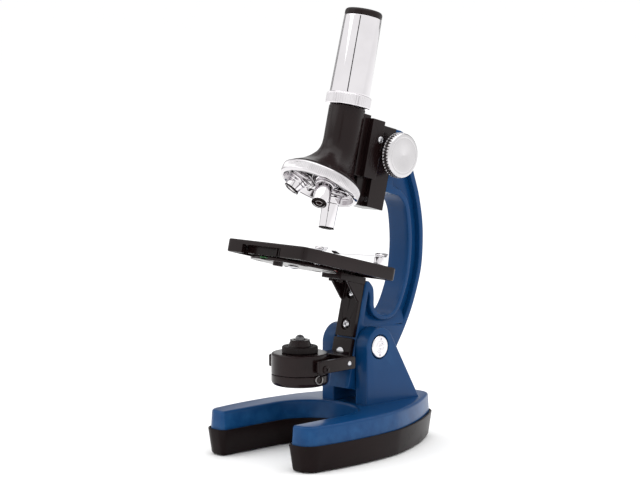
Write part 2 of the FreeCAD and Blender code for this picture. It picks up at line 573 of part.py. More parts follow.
def pinion():
    # Spur pinion: straight-flanked teeth, one gap centred on the rack's middle tooth.
    teeth = int(size("pinion_teeth"))
    ring = []
    for i in range(teeth):
        middle = math.pi + (i + 0.5) * 2 * math.pi / teeth
        for r, share in ((pinion_r - 1.05 * tooth, -0.34), (pinion_r + 0.75 * tooth, -0.11),
                         (pinion_r + 0.75 * tooth, 0.11), (pinion_r - 1.05 * tooth, 0.34)):
            angle = middle + share * 2 * math.pi / teeth
            ring.append(V(-size("rack_half"), r * math.cos(angle), r * math.sin(angle)))
    wheel = Part.Face(Part.makePolygon(ring + ring[:1])).extrude(V(2 * size("rack_half"), 0, 0))
    bore = Part.makeCylinder(size("axle_radius"), 20, V(-10, 0, 0), V(1, 0, 0))
    gear = doc.addObject("Part::Feature", "Pinion")
    gear.Shape = wheel.cut(bore)
    gear.Placement = FreeCAD.Placement(V(0, size("axle_u"), size("axle_w")), up)
    return gear


node("pinion", pinion(), arm_frame)
thick = size("knob_outer") - size("knob_inner")
knob_profile = [("dim.axle_radius + 0.02", 0), (8.6, 0), (8.6, 0.5), ("dim.knob_radius - 0.5", 0.5), ("dim.knob_radius", 1.0),
                ("dim.knob_radius", thick - 0.9), ("dim.knob_radius - 0.9", thick), (9.3, thick), (9.0, thick - 0.35),
                (8.6, thick - 0.35), (8.3, thick), (0, thick), (0, thick - 1.4), ("dim.axle_radius + 0.02", thick - 1.4)]
for word, side, turn in (("left", -1, to_left), ("right", 1, to_right)):
    seat = (side * size("knob_inner"), size("axle_u"), size("axle_w"))
    node(f"focus_knob_{word}", turned(f"Knob{word.title()}", knob_profile, seat, turn), arm_frame)

# ---------------------------------------------------------------- body tube
flare_top = 99.0
flare_steps = 7
skirt_gap = 0.35
skirt_radius = 18.2
skirt_thick = 1.0


def flare_ring(share, inner=0.0):
    # One section of the flare, from the round tube to the tilted skirt over the nosepiece.
    slope_now = math.radians(size("turret_slope")) * min(1.0, share * 1.6)
    top = V(0, size("optical_axis"), flare_top)
    skirt = V(0, size("turret_u"), size("turret_w")) + V(0, math.sin(math.radians(size("turret_slope"))),
                                                        math.cos(math.radians(size("turret_slope")))) * (size("rim_half") + skirt_gap + skirt_thick - 0.1)
    side = share ** 2.2
    centre = V(0, top.y + (skirt.y - top.y) * side, top.z + (skirt.z - top.z) * share)
    radius = size("tube_radius") + (skirt_radius - size("tube_radius")) * share ** 3.2 - inner
    normal = V(0, math.sin(slope_now), math.cos(slope_now))
    return Part.Wire(Part.Circle(centre, normal, radius).toShape())


def body_tube():
    rings = [flare_ring(i / flare_steps) for i in range(flare_steps + 1)]
    flare = Part.makeLoft(rings, True)
    tube = Part.makeCylinder(size("tube_radius"), size("tube_top") - flare_top, V(0, size("optical_axis"), flare_top))
    lean = math.radians(size("turret_slope"))
    normal = V(0, math.sin(lean), math.cos(lean))
    foot = V(0, size("turret_u"), size("turret_w")) + normal * (size("rim_half") + skirt_gap)
    skirt = Part.makeCylinder(skirt_radius, skirt_thick, foot, normal)
    spindle = Part.makeCylinder(3.5, 1.4, foot - normal * 0.3, normal)
    whole = tube.fuse([flare, skirt, spindle])
    light = Part.makeCylinder(4.0, 60, V(0, size("optical_axis"), 70))
    bore = Part.makeCylinder(size("tube_bore") + 0.05, 20, V(0, size("optical_axis"), 103))
    tap = Part.makeCylinder(1.55, 6.0, foot - normal * 1.0, normal)
    horn = doc.addObject("Part::Feature", "BodyTube")
    horn.Shape = whole.cut([light, bore, tap]).removeSplitter()
    return horn


node("body_tube", body_tube(), arm_frame)

# ---------------------------------------------------------------- eyepiece
axis_at = (0, size("optical_axis"), 0)
spigot = [("dim.tube_bore - 1.3", 104), ("dim.tube_bore", 104), ("dim.tube_bore", "dim.tube_top + 0.15"),
          ("dim.ring_radius - 0.3", "dim.tube_top + 0.15"), ("dim.ring_radius", "dim.tube_top + 0.5"),
          ("dim.ring_radius", "dim.ring_top - 0.4"), ("dim.ring_radius - 0.4", "dim.ring_top"),
          ("dim.tube_bore + 0.2", "dim.ring_top"), ("dim.tube_bore + 0.2", "dim.tube_top + 2"),
          ("dim.tube_bore - 1.3", "dim.tube_top + 2")]
node("grip_ring", turned("GripRing", spigot, axis_at), arm_frame)
chrome_profile = [(8.3, "dim.ring_top"), ("dim.chrome_low", "dim.ring_top"), ("dim.chrome_high", "dim.cap_low"),
                  (8.3, "dim.cap_low")]
node("eyepiece_tube", turned("EyepieceTube", chrome_profile, axis_at), arm_frame)
cap_outline = [(4.2, "dim.cap_top - 2.1"), (6.9, "dim.cap_top - 2.1"), (6.9, "dim.cap_low - 4.0"),
               (8.25, "dim.cap_low - 4.0"), (8.25, "dim.cap_low"), ("dim.chrome_high - 0.05", "dim.cap_low"),
               ("dim.chrome_high - 0.05", "dim.cap_top - 0.9"), ("dim.chrome_high - 0.9", "dim.cap_top"),
               (7.0, "dim.cap_top"), (4.9, "dim.cap_top - 1.0"), (4.2, "dim.cap_top - 1.2")]
node("eyepiece_cap", turned("EyepieceCap", cap_outline, axis_at), arm_frame)
node("eye_lens", turned("EyeLens", [(0, "dim.cap_top - 4.6"), (5.4, "dim.cap_top - 4.0"), (6.8, "dim.cap_top - 3.6"),
                                    (6.8, "dim.cap_top - 2.15"), (4.1, "dim.cap_top - 2.15"),
                                    (0, "dim.cap_top - 1.9")], axis_at), arm_frame)
cell_low = 128.0
node("zoom_cell", turned("ZoomCell", [(5.2, cell_low), (8.0, cell_low), (8.0, cell_low + 7), (6.4, cell_low + 7),
                                      (6.4, cell_low + 2.0), (5.2, cell_low + 2.0)], axis_at), arm_frame)
node("zoom_lens", turned("ZoomLens", [(0, cell_low + 2.0), (6.35, cell_low + 2.6), (6.35, cell_low + 4.2),
                                      (0, cell_low + 5.0)], axis_at), arm_frame)

# ---------------------------------------------------------------- nosepiece, in its own tilted frame
lean = math.radians(size("turret_slope"))
apex = (size("optical_axis") - size("turret_u")) / math.sin(lean)
rim = size("rim_half")
plate = size("plate_low")
disc_profile = [(1.75, plate), (17.4, plate), (18.6, -rim), (19.4, -rim), ("dim.turret_radius", 0.7 - rim),
                ("dim.turret_radius", rim - 0.7), ("dim.turret_radius - 0.7", rim), (1.75, rim)]
turret_body = turned("TurretBody", disc_profile)


def objective_seat(angle):
    # Placement of an objective: its Z axis runs down its own optical line from the apex.
    swing = FreeCAD.Rotation(V(0, 0, 1), angle) * FreeCAD.Rotation(V(1, 0, 0), 180 + size("turret_slope"))
    return FreeCAD.Placement(V(0, 0, apex), swing)


mount_height = apex / math.cos(lean)
collars = []
wells = []
for i, angle in enumerate((0, 120, 240)):
    collar = turned(f"Collar{i}", [(5.3, mount_height - 3.6), (7.4, mount_height - 3.6), (7.4, mount_height + 0.6),
                                   (6.9, mount_height + 1.0), (5.3, mount_height + 1.0)])
    collar.Placement = objective_seat(angle)
    collars.append(collar)
    well = doc.addObject("Part::Cylinder", f"Well{i}")
    well.Radius = 5.3
    well.Height = 30
    well.Placement = objective_seat(angle) * FreeCAD.Placement(V(0, 0, mount_height - 15), up)
    wells.append(well)
above_rim = rod("AboveRim", (0, 0, rim), up, 19.0, 6.0)
spindle_bore = rod("SpindleBore", (0, 0, -10), up, 1.75, 20.0)
spindle_seat = rod("SpindleSeat", (0, 0, -6), up, 2.8, 6 + plate - 0.15)
node("turret_disc", cut("TurretDisc", joined("TurretAll", turret_body, *collars), *wells, above_rim, spindle_bore,
                        spindle_seat),
     turret_frame)

objective_table = {
    # angle round the nosepiece, length from the apex, radii at mount, collar, barrel top and tip
    "high": (0, 51.5, 5.25, 4.7, 4.25, 3.8),
    "medium": (-120, 48.6, 5.25, 4.7, 4.4, 3.8),
    "low": (120, 41.5, 5.25, 4.8, 4.5, 4.1),
}
for word, (angle, reach, mount_r, collar_r, barrel_r, tip_r) in objective_table.items():
    start = mount_height - 1.5
    shoulder_at = mount_height + 2.2
    collar_end = shoulder_at + min(3.0, (reach - shoulder_at) * 0.4)
    barrel = turned(f"Barrel{word.title()}", [
        (2.0, start), (mount_r, start), (mount_r, shoulder_at), (collar_r, shoulder_at),
        (collar_r, collar_end - 0.3), (barrel_r, collar_end), (tip_r, reach - 0.4), (tip_r - 0.4, reach),
        (2.6, reach), (2.2, reach - 1.2), (2.0, reach - 1.2)])
    barrel.Placement = objective_seat(angle)
    node(f"objective_{word}", barrel, turret_frame)
    lens = turned(f"Lens{word.title()}", [(0, reach - 2.8), (1.95, reach - 2.8), (1.95, reach - 1.5), (0, reach - 1.0)])
    lens.Placement = objective_seat(angle)
    node(f"lens_{word}", lens, turret_frame)
screws("turret_screw", turret_frame, [(0, 0, plate - 0.15)], to_below, (2.5, 1.8), (1.5, 6.0))

# ---------------------------------------------------------------- lamp fork, fixed to the arm
fork_y = size("lamp_y")
fork_front = fork_y - 4.3
fork_arms = [block(f"ForkArm{i}", (f"{low}", f"{fork_front}", "dim.fork_low"), (f"{high}", "-6.0", "dim.fork_high"))
             for i, (low, high) in enumerate(((-size("fork_outer"), -size("fork_inner")),
                                              (size("fork_inner"), size("fork_outer"))))]
crossbar = block("Crossbar", ("-dim.fork_outer", "-9.4", "dim.fork_low"), ("dim.fork_outer", "-6.0", "dim.fork_high"))
neck_bar = block("ForkNeck", ("-5.6", "-7.0", "43.0"), ("5.6", "5.0", "49.4"))
back_plate = doc.addObject("Part::Box", "ForkPlate")
back_plate.Length = 12.8
back_plate.Width = 2.6
back_plate.Height = 14.6
back_plate.Placement = arm_frame * FreeCAD.Placement(V(-6.4, size("arm_front") - 2.6, -13.0), up)
behind_plate = doc.addObject("Part::Box", "BehindPlate")
behind_plate.Length = 30
behind_plate.Width = 20
behind_plate.Height = 60
behind_plate.Placement = arm_frame * FreeCAD.Placement(V(-15, size("arm_front"), -40), up)
fork_hole = rod("ForkHole", (0, 0, 0), up, 1.6, 12.0)
fork_hole.Placement = arm_frame * FreeCAD.Placement(V(0, size("arm_front") + 1, -6.0), to_front)
fork_sink = rod("ForkSink", (0, 0, 0), up, 2.8, 12.0)
fork_sink.Placement = arm_frame * FreeCAD.Placement(V(0, size("arm_front") - 1.6, -6.0), to_front)
trunnion_holes = [rod(f"TrunnionHole{i}", (x, fork_y, size("lamp_pivot")), to_right, 1.35, 4.0)
                  for i, x in enumerate((-size("fork_outer") - 0.5, size("fork_inner") - 0.5))]
fork_rivet_holes = [rod(f"RivetHole{i}", (x, -10.5, 46.4), to_right, 0.9, 3.0)
                    for i, x in enumerate((-size("fork_outer") - 0.2, size("fork_outer") - 2.8))]
node("lamp_fork", cut("LampFork", joined("ForkBody", *fork_arms, crossbar, neck_bar, back_plate),
                      behind_plate, fork_hole, fork_sink, *trunnion_holes, *fork_rivet_holes))
rivets = [rod(f"RivetHead{i}", (x, -10.5, 46.4), turn, 1.3, 0.6)
          for i, (x, turn) in enumerate(((size("fork_outer"), to_right), (-size("fork_outer"), to_left)))]
stems = [rod(f"RivetStem{i}", (x, -10.5, 46.4), turn, 0.88, 2.6)
         for i, (x, turn) in enumerate(((size("fork_outer") - 2.4, to_right), (2.4 - size("fork_outer"), to_left)))]
node("fork_rivets", group("Rivets", [joined(f"Rivet{i}", *pair) for i, pair in enumerate(zip(rivets, stems))]))
screws("fork_screw", arm_frame, [(0, front - 1.6, -6.0)], to_front, (2.5, 1.5), (1.5, 8.0))

# ---------------------------------------------------------------- lamp, flips end over end in its fork
lamp_at = (0, fork_y, 0)
case_profile = [("dim.lamp_radius - 1.6", "dim.lamp_seam + 0.1"), ("dim.lamp_radius", "dim.lamp_seam + 0.1"),
                ("dim.lamp_radius", "dim.lamp_deck - 0.6"), ("dim.lamp_radius - 0.6", "dim.lamp_deck"),
                (5.0, "dim.lamp_deck"), (5.0, "dim.lamp_deck - 1.6"), ("dim.lamp_radius - 1.6", "dim.lamp_deck - 1.6")]
trunnion_bosses = []
trunnion_taps = []
for i, (side, turn) in enumerate(((1, to_right), (-1, to_left))):
    trunnion_bosses.append(rod(f"TrunnionBoss{i}", (side * 11.0, fork_y, size("lamp_pivot")), turn, 2.8, 3.9))
    trunnion_taps.append(rod(f"TrunnionTap{i}", (side * 9.0, fork_y, size("lamp_pivot")), turn, 1.32, 8.0))
case_shell = turned("CaseShell", case_profile, lamp_at)
node("lamp_case", cut("LampCase", joined("CaseBody", case_shell, *trunnion_bosses), *trunnion_taps))
cover_profile = [(0, "dim.lamp_low + 1.9"), (11.3, "dim.lamp_low + 1.9"), (11.3, "dim.lamp_low"),
                 ("dim.lamp_radius - 1.6", "dim.lamp_low"), ("dim.lamp_radius - 0.5", "dim.lamp_low + 0.5"),
                 ("dim.lamp_radius", "dim.lamp_low + 1.7"), ("dim.lamp_radius", "dim.lamp_seam"),
                 ("dim.lamp_radius - 1.7", "dim.lamp_seam"), ("dim.lamp_radius - 1.7", "dim.lamp_seam + 1.4"),
                 ("dim.lamp_radius - 2.9", "dim.lamp_seam + 1.4"), ("dim.lamp_radius - 2.9", "dim.lamp_low + 3.2"),
                 (0, "dim.lamp_low + 3.2")]
cover = turned("CoverTurn", cover_profile, lamp_at)
boss_gap = rod("BossGap", (-20, fork_y, size("lamp_pivot")), to_right, 3.0, 40)
node("battery_cover", cut("BatteryCover", cover, boss_gap))
node("lamp_mirror", rod("LampMirror", (0, fork_y, size("lamp_low") + 0.3), up, 11.2, 1.5))
latch = doc.addObject("Part::Torus", "CoverLatch")
latch.Radius1 = 2.2
latch.Radius2 = 0.38
latch.Angle3 = 300
latch.Placement = FreeCAD.Placement(V(size("lamp_radius") + 0.4, fork_y - 1.2, 39.8),
                                    FreeCAD.Rotation(V(0, 1, 0), 90) * FreeCAD.Rotation(V(0, 0, 1), 60))
node("cover_latch", latch)
node("lamp_ring", turned("LampRing", [(6.2, "dim.lamp_deck"), ("dim.ring_out", "dim.lamp_deck"),
                                      ("dim.ring_out", "dim.cone_low - 0.5"), ("dim.ring_out - 0.5", "dim.cone_low"),
                                      (6.2, "dim.cone_low")], lamp_at))
node("lamp_cone", turned("LampCone", [(2.6, "dim.lamp_deck - 1.4"), (4.9, "dim.lamp_deck - 1.4"), (4.9, "dim.lamp_deck + 0.05"),
                                      (6.1, "dim.lamp_deck + 0.05"), (6.1, "dim.cone_low"), (5.8, "dim.cone_low + 0.05"),
                                      (4.9, "dim.cone_top - 0.5"), (4.9, "dim.cone_top"),
                                      (2.6, "dim.cone_top")], lamp_at))
led_base = rod("LedBase", (0, fork_y, 54.0), up, "dim.led_radius", "dim.cone_top + 0.05 - 54")
dome = doc.addObject("Part::Sphere", "LedDome")
bind(dome, "Radius", "dim.led_radius")
dome.Placement = FreeCAD.Placement(V(0, fork_y, size("cone_top")), up)
leads = [rod(f"Lead{i}", (x, fork_y, 49.6), up, 0.25, 5.0) for i, x in enumerate((-1.27, 1.27))]
node("led", joined("Led", led_base, dome, *leads))
node("led_board", rod("LedBoard", (0, fork_y, 48.6), up, 9.0, 1.0))
node("coin_cells", group("CoinCells", [rod(f"Cell{i}", (0, fork_y, z), up, 10.0, 3.2) for i, z in enumerate((39.2, 42.45))]))
spring_leaf = padded("SpringLeaf", "XZ_Plane", [(-4.0, 45.7), (-4.0, 46.0), (-0.4, 46.6), (3.2, 48.55), (5.0, 48.55),
                                               (5.0, 48.25), (3.3, 48.25), (-0.3, 46.3)], 3.0, lamp_at)
node("contact_leaf", spring_leaf)
pivots = []
for i, (side, turn) in enumerate(((1, to_right), (-1, to_left))):
    head = rod(f"TrunnionHead{i}", (side * (size("fork_outer") + 0.12), fork_y, size("lamp_pivot")), turn, 2.0, 0.9)
    stem = rod(f"TrunnionStem{i}", (side * 11.2, fork_y, size("lamp_pivot")), turn, 1.3, size("fork_outer") - 11.0)
    pivots.append(joined(f"Trunnion{i}", head, stem))
node("lamp_trunnions", group("Trunnions", pivots))

# ---------------------------------------------------------------- check and export
doc.recompute()
for obj, frame in nodes.values():
    obj.Placement = frame * obj.Placement
doc.recompute()
for obj in doc.Objects:
    if "Invalid" in obj.State or "Error" in obj.State:
        raise RuntimeError(f"{obj.Name} failed: {obj.State}")
os.makedirs("parts", exist_ok=True)
for label, (obj, frame) in nodes.items():
    shape = obj.Shape
    if shape.isNull() or not shape.isValid() or not shape.Solids:
        raise RuntimeError(f"{label} has no valid solid")
    shape.exportStep(f"parts/{label}.step")
    print(f"{label:22s} {len(shape.Solids)} solid(s) {shape.Volume:10.1f} mm3")
print(len(nodes), "nodes")
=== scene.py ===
import json
import math

import bmesh
import bpy
from mathutils import Matrix, Vector
from mathutils.geometry import tessellate_polygon


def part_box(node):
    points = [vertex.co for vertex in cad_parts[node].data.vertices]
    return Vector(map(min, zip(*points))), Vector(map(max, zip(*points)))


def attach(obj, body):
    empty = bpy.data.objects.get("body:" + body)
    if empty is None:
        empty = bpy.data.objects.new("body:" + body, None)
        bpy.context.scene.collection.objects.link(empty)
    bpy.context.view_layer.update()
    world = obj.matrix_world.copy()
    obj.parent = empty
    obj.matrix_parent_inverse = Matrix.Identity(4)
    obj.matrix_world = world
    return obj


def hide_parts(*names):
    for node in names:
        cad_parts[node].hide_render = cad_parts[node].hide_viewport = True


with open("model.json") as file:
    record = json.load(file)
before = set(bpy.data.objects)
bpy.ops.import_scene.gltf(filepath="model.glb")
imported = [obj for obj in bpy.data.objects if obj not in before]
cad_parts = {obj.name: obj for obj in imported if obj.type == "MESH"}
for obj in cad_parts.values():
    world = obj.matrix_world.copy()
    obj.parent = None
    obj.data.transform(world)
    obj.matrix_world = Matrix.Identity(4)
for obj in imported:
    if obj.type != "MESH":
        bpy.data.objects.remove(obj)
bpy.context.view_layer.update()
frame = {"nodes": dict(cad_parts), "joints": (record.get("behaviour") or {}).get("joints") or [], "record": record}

mm = 0.001
fullTurn = 2 * math.pi
print("frame loaded")


# Places, all taken from the joints of the frame.
joints = {joint["name"]: joint for joint in frame["joints"]}
rowSeat = Matrix.Identity(4)


def leaningSeat(spot, upAxis):
    up = Vector(upAxis).normalized()
    right = Vector((1, 0, 0))
    back = up.cross(right).normalized()
    return Matrix.Translation(spot) @ Matrix((right, back, up)).transposed().to_4x4()


armSeat = leaningSeat(joints["arm_tilt"]["pos_m"], joints["focus_slide"]["axis"])
turretSeat = leaningSeat(joints["turret_turn"]["pos_m"], joints["turret_turn"]["axis"])
lampSeat = Matrix.Translation(joints["lamp_flip"]["pos_m"])
sideways = Matrix(((0, 0, 1, 0), (1, 0, 0, 0), (0, 1, 0, 0), (0, 0, 0, 1)))  # drawn in Y-Z, thick along X


def shifted(seat, x, y, z=0):
    return seat @ Matrix.Translation((x * mm, y * mm, z * mm))


def spotOf(jointName):
    return [value / mm for value in joints[jointName]["pos_m"]]


def inSeat(seat, jointName):
    return [value / mm for value in seat.inverted() @ Vector(joints[jointName]["pos_m"])]


def spanOf(node, seat):
    back = seat.inverted()
    points = [back @ vertex.co for vertex in frame["nodes"][node].data.vertices]
    return [(min(p[i] for p in points) / mm, max(p[i] for p in points) / mm) for i in range(3)]


opticalU = inSeat(armSeat, "eyepiece_turn")[1]
turretU, turretW = inSeat(armSeat, "turret_turn")[1:]
turretSlope = Vector(joints["turret_turn"]["axis"]).angle(Vector(joints["focus_slide"]["axis"]))
opticalSeat = shifted(armSeat, 0, opticalU)


# Outline helpers, all in millimetres.
def arcThrough(start, middle, end, steps=10):
    (ax, ay), (bx, by), (cx, cy) = start, middle, end
    twice = 2 * (ax * (by - cy) + bx * (cy - ay) + cx * (ay - by))
    if abs(twice) < 1e-9:
        return [start, middle, end]
    a2, b2, c2 = ax * ax + ay * ay, bx * bx + by * by, cx * cx + cy * cy
    ox = (a2 * (by - cy) + b2 * (cy - ay) + c2 * (ay - by)) / twice
    oy = (a2 * (cx - bx) + b2 * (ax - cx) + c2 * (bx - ax)) / twice
    radius = math.hypot(ax - ox, ay - oy)
    first = math.atan2(ay - oy, ax - ox)
    toMiddle = (math.atan2(by - oy, bx - ox) - first) % fullTurn
    toEnd = (math.atan2(cy - oy, cx - ox) - first) % fullTurn
    if toMiddle > toEnd:
        toEnd -= fullTurn
    return [(ox + radius * math.cos(first + toEnd * i / steps),
             oy + radius * math.sin(first + toEnd * i / steps)) for i in range(steps + 1)]


def flowing(points, steps=8):
    # A smooth open line through points (Catmull-Rom), ends kept.
    padded = [points[0]] + list(points) + [points[-1]]
    line = []
    for before, here, there, after in zip(padded, padded[1:], padded[2:], padded[3:]):
        for i in range(steps):
            t = i / steps
            line.append(tuple(
                0.5 * (2 * b + (c - a) * t + (2 * a - 5 * b + 4 * c - d) * t * t
                       + (3 * b - a - 3 * c + d) * t ** 3)
                for a, b, c, d in zip(before, here, there, after)))
    return line + [tuple(points[-1])]


def softened(points, radius, steps=4, closed=True):
    # Each corner becomes a small curve that starts and ends up to radius away from it.
    count = len(points)
    result = []
    for i, corner in enumerate(points):
        if not closed and i in (0, count - 1):
            result.append(corner)
            continue
        before, after = Vector(points[i - 1]), Vector(points[(i + 1) % count])
        here = Vector(corner)
        inward = min(radius, (before - here).length * 0.45)
        outward = min(radius, (after - here).length * 0.45)
        if inward < 1e-4 or outward < 1e-4 or (here - before).angle(after - here, 0) < 0.15:
            result.append(corner)
            continue
        start = here + (before - here).normalized() * inward
        end = here + (after - here).normalized() * outward
        for k in range(steps + 1):
            t = k / steps
            result.append(tuple(start * (1 - t) ** 2 + here * 2 * t * (1 - t) + end * t * t))
    return result


def circle(radius, steps):
    turns = [fullTurn * i / steps for i in range(steps)]
    return [(radius * math.cos(turn), radius * math.sin(turn)) for turn in turns]


def domed(radius, rise, base, steps):
    # From just inside the edge of a dome up to its crown.
    turns = [math.pi / 2 * i / steps for i in range(1, steps)]
    return [(radius * math.cos(turn), base + rise * math.sin(turn)) for turn in turns] + [(0, base + rise)]


def disc(radius, low, high):
    return [(0, low), (radius, low), (radius, high), (0, high)]


def squareTo(line, i):
    # Unit direction at right angles to the line at its point i.
    along = (Vector(line[min(len(line) - 1, i + 1)]) - Vector(line[max(0, i - 1)])).normalized()
    return Vector((-along.y, along.x))


# Mesh helpers.
def meshFrom(work, name):
    mesh = bpy.data.meshes.new(name)
    work.to_mesh(mesh)
    work.free()
    return mesh


def shown(name, data):
    obj = bpy.data.objects.new(name, data)
    bpy.context.scene.collection.objects.link(obj)
    return obj


def seated(name, mesh, seat):
    mesh.transform(seat @ Matrix.Scale(mm, 4))
    return shown(name, mesh)


def lathe(name, profile, seat=rowSeat, steps=96, ribs=None):
    # profile is a closed ring of (radius, height); ribs scallop the rows between two heights.
    work = bmesh.new()
    rows = []
    for radius, height in profile:
        if radius < 1e-6:
            rows.append([work.verts.new((0, 0, height))])
            continue
        row = []
        for i in range(steps):
            angle = fullTurn * i / steps
            cutBack = 0
            if ribs and ribs["low"] <= height <= ribs["high"] and radius > ribs["inside"]:
                cutBack = ribs["depth"] * (0.5 - 0.5 * math.cos(ribs["count"] * angle)) ** 1.6
            reach = radius - cutBack
            row.append(work.verts.new((reach * math.cos(angle), reach * math.sin(angle), height)))
        rows.append(row)
    for here, there in zip(rows, rows[1:] + rows[:1]):
        for i in range(steps):
            j = (i + 1) % steps
            corners = [here[i % len(here)], here[j % len(here)], there[j % len(there)], there[i % len(there)]]
            corners = list(dict.fromkeys(corners))
            if len(corners) > 2 and work.faces.get(corners) is None:
                work.faces.new(corners)
    bmesh.ops.recalc_face_normals(work, faces=work.faces)
    return seated(name, meshFrom(work, name), seat)


def skin(name, rings, seat=rowSeat):
    # Rings of equal count joined in order, with a flat lid at both ends.
    work = bmesh.new()
    rows = [[work.verts.new(point) for point in ring] for ring in rings]
    count = len(rows[0])
    for here, there in zip(rows, rows[1:]):
        for i in range(count):
            j = (i + 1) % count
            work.faces.new((here[i], here[j], there[j], there[i]))
    for row in (rows[0], rows[-1]):
        for corners in tessellate_polygon([[vertex.co for vertex in row]]):
            work.faces.new([row[i] for i in corners])
    bmesh.ops.recalc_face_normals(work, faces=work.faces)
    return seated(name, meshFrom(work, name), seat)


def plate(name, loops, low, high, rounding, seat=rowSeat):
    # A flat plate with rounded edges; the first loop is its outside, the others are holes.
    shape = bpy.data.curves.new(name, "CURVE")
    shape.dimensions = "2D"
    shape.fill_mode = "BOTH"
    shape.extrude = (high - low) / 2 - rounding
    shape.bevel_depth = rounding
    shape.bevel_resolution = 3
    shape.offset = -rounding
    for loop in loops:
        spline = shape.splines.new("POLY")
        spline.points.add(len(loop) - 1)
        for point, (x, y) in zip(spline.points, loop):
            point.co = (x, y, 0, 1)
        spline.use_cyclic_u = True
    holder = shown(name, shape)
    mesh = bpy.data.meshes.new_from_object(holder)
    bpy.data.objects.remove(holder)
    bpy.data.curves.remove(shape)
    mesh.name = name
    work = bmesh.new()
    work.from_mesh(mesh)
    bmesh.ops.remove_doubles(work, verts=work.verts, dist=1e-4)
    bmesh.ops.recalc_face_normals(work, faces=work.faces)
    work.to_mesh(mesh)
    work.free()
    mesh.transform(Matrix.Translation((0, 0, (low + high) / 2)))
    return seated(name, mesh, seat)


def boxy(name, low, high, seat=rowSeat):
    work = bmesh.new()
    made = bmesh.ops.create_cube(work, size=1)
    for vertex in made["verts"]:
        vertex.co = [(a + b) / 2 + c * (b - a) for a, b, c in zip(low, high, vertex.co)]
    return seated(name, meshFrom(work, name), seat)


def carve(target, tool, operation="DIFFERENCE"):
    change = target.modifiers.new("carve", "BOOLEAN")
    change.operation = operation
    change.solver = "EXACT"
    change.object = tool
    graph = bpy.context.evaluated_depsgraph_get()
    mesh = bpy.data.meshes.new_from_object(target.evaluated_get(graph))
    target.modifiers.clear()
    target.data = mesh
    bpy.data.objects.remove(tool)
    return target


def sealed(obj):
    # Closes the hairline gaps that a cut can leave.
    work = bmesh.new()
    work.from_mesh(obj.data)
    bmesh.ops.holes_fill(work, edges=[edge for edge in work.edges if edge.is_boundary], sides=4)
    work.to_mesh(obj.data)
    work.free()
    return obj


def merged(name, pieces):
    # Several closed shells kept in one object.
    work = bmesh.new()
    for piece in pieces:
        work.from_mesh(piece.data)
        bpy.data.objects.remove(piece)
    return shown(name, meshFrom(work, name))


def axisSeat(seat, spot, direction):
    # Local +Z along direction, from a spot given in millimetres in the seat.
    turn = Vector((0, 0, 1)).rotation_difference(Vector(direction)).to_matrix().to_4x4()
    return seat @ Matrix.Translation(Vector(spot) * mm) @ turn


# Shader maths: a Signal is a socket that adds nodes when it is used in an expression.
class Signal:
    def __init__(self, tree, socket):
        self.tree = tree
        self.socket = socket

    def math(self, operation, *values):
        node = self.tree.nodes.new("ShaderNodeMath")
        node.operation = operation
        for place, value in zip(node.inputs, values):
            if isinstance(value, Signal):
                self.tree.links.new(value.socket, place)
            else:
                place.default_value = value
        return Signal(self.tree, node.outputs[0])

    def __add__(self, other):
        return self.math("ADD", self, other)

    def __radd__(self, other):
        return self.math("ADD", other, self)

    def __sub__(self, other):
        return self.math("SUBTRACT", self, other)

    def __rsub__(self, other):
        return self.math("SUBTRACT", other, self)

    def __mul__(self, other):
        return self.math("MULTIPLY", self, other)

    def __rmul__(self, other):
        return self.math("MULTIPLY", other, self)

    def __pow__(self, other):
        return self.math("POWER", self, other)


class Finish:
    def __init__(self, name):
        self.material = bpy.data.materials.new(name)
        self.material.use_nodes = True
        self.tree = self.material.node_tree
        self.shader = self.tree.nodes["Principled BSDF"]

    def add(self, kind, settings=None, sockets=None, output=0):
        node = self.tree.nodes.new(kind)
        for name, value in (settings or {}).items():
            setattr(node, name, value)
        for name, value in (sockets or {}).items():
            if isinstance(value, Signal):
                self.tree.links.new(value.socket, node.inputs[name])
            else:
                node.inputs[name].default_value = value
        return Signal(self.tree, node.outputs[output])

    def place(self):
        return self.add("ShaderNodeTexCoord", output="Object")

    def noise(self, scale, detail=3, rough=0.5):
        sockets = {"Vector": self.place(), "Scale": scale, "Detail": detail, "Roughness": rough}
        return self.add("ShaderNodeTexNoise", {}, sockets, "Fac")

    def blend(self, share, first, second):
        node = self.tree.nodes.new("ShaderNodeMix")
        node.data_type = "RGBA"
        for socket, value in ((node.inputs[0], share), (node.inputs[6], first), (node.inputs[7], second)):
            if isinstance(value, Signal):
                self.tree.links.new(value.socket, socket)
            elif isinstance(value, (int, float)):
                socket.default_value = value
            else:
                socket.default_value = (*value, 1)
        return Signal(self.tree, node.outputs[2])

    def ramp(self, value, low, high):
        sockets = {"Value": value, "From Min": low, "From Max": high}
        return self.add("ShaderNodeMapRange", {"clamp": True}, sockets)

    def bump(self, height, strength, distance):
        sockets = {"Height": height, "Strength": strength, "Distance": distance}
        return self.add("ShaderNodeBump", {}, sockets, "Normal")

    def set(self, **values):
        names = {"colour": "Base Color", "rough": "Roughness", "metal": "Metallic", "coat": "Coat Weight",
                 "coatRough": "Coat Roughness", "normal": "Normal", "glassy": "Transmission Weight",
                 "bend": "IOR", "gloss": "Specular IOR Level"}
        for word, value in values.items():
            socket = self.shader.inputs[names[word]]
            if isinstance(value, Signal):
                self.tree.links.new(value.socket, socket)
            else:
                socket.default_value = (*value, 1) if isinstance(value, tuple) else value
        return self.material


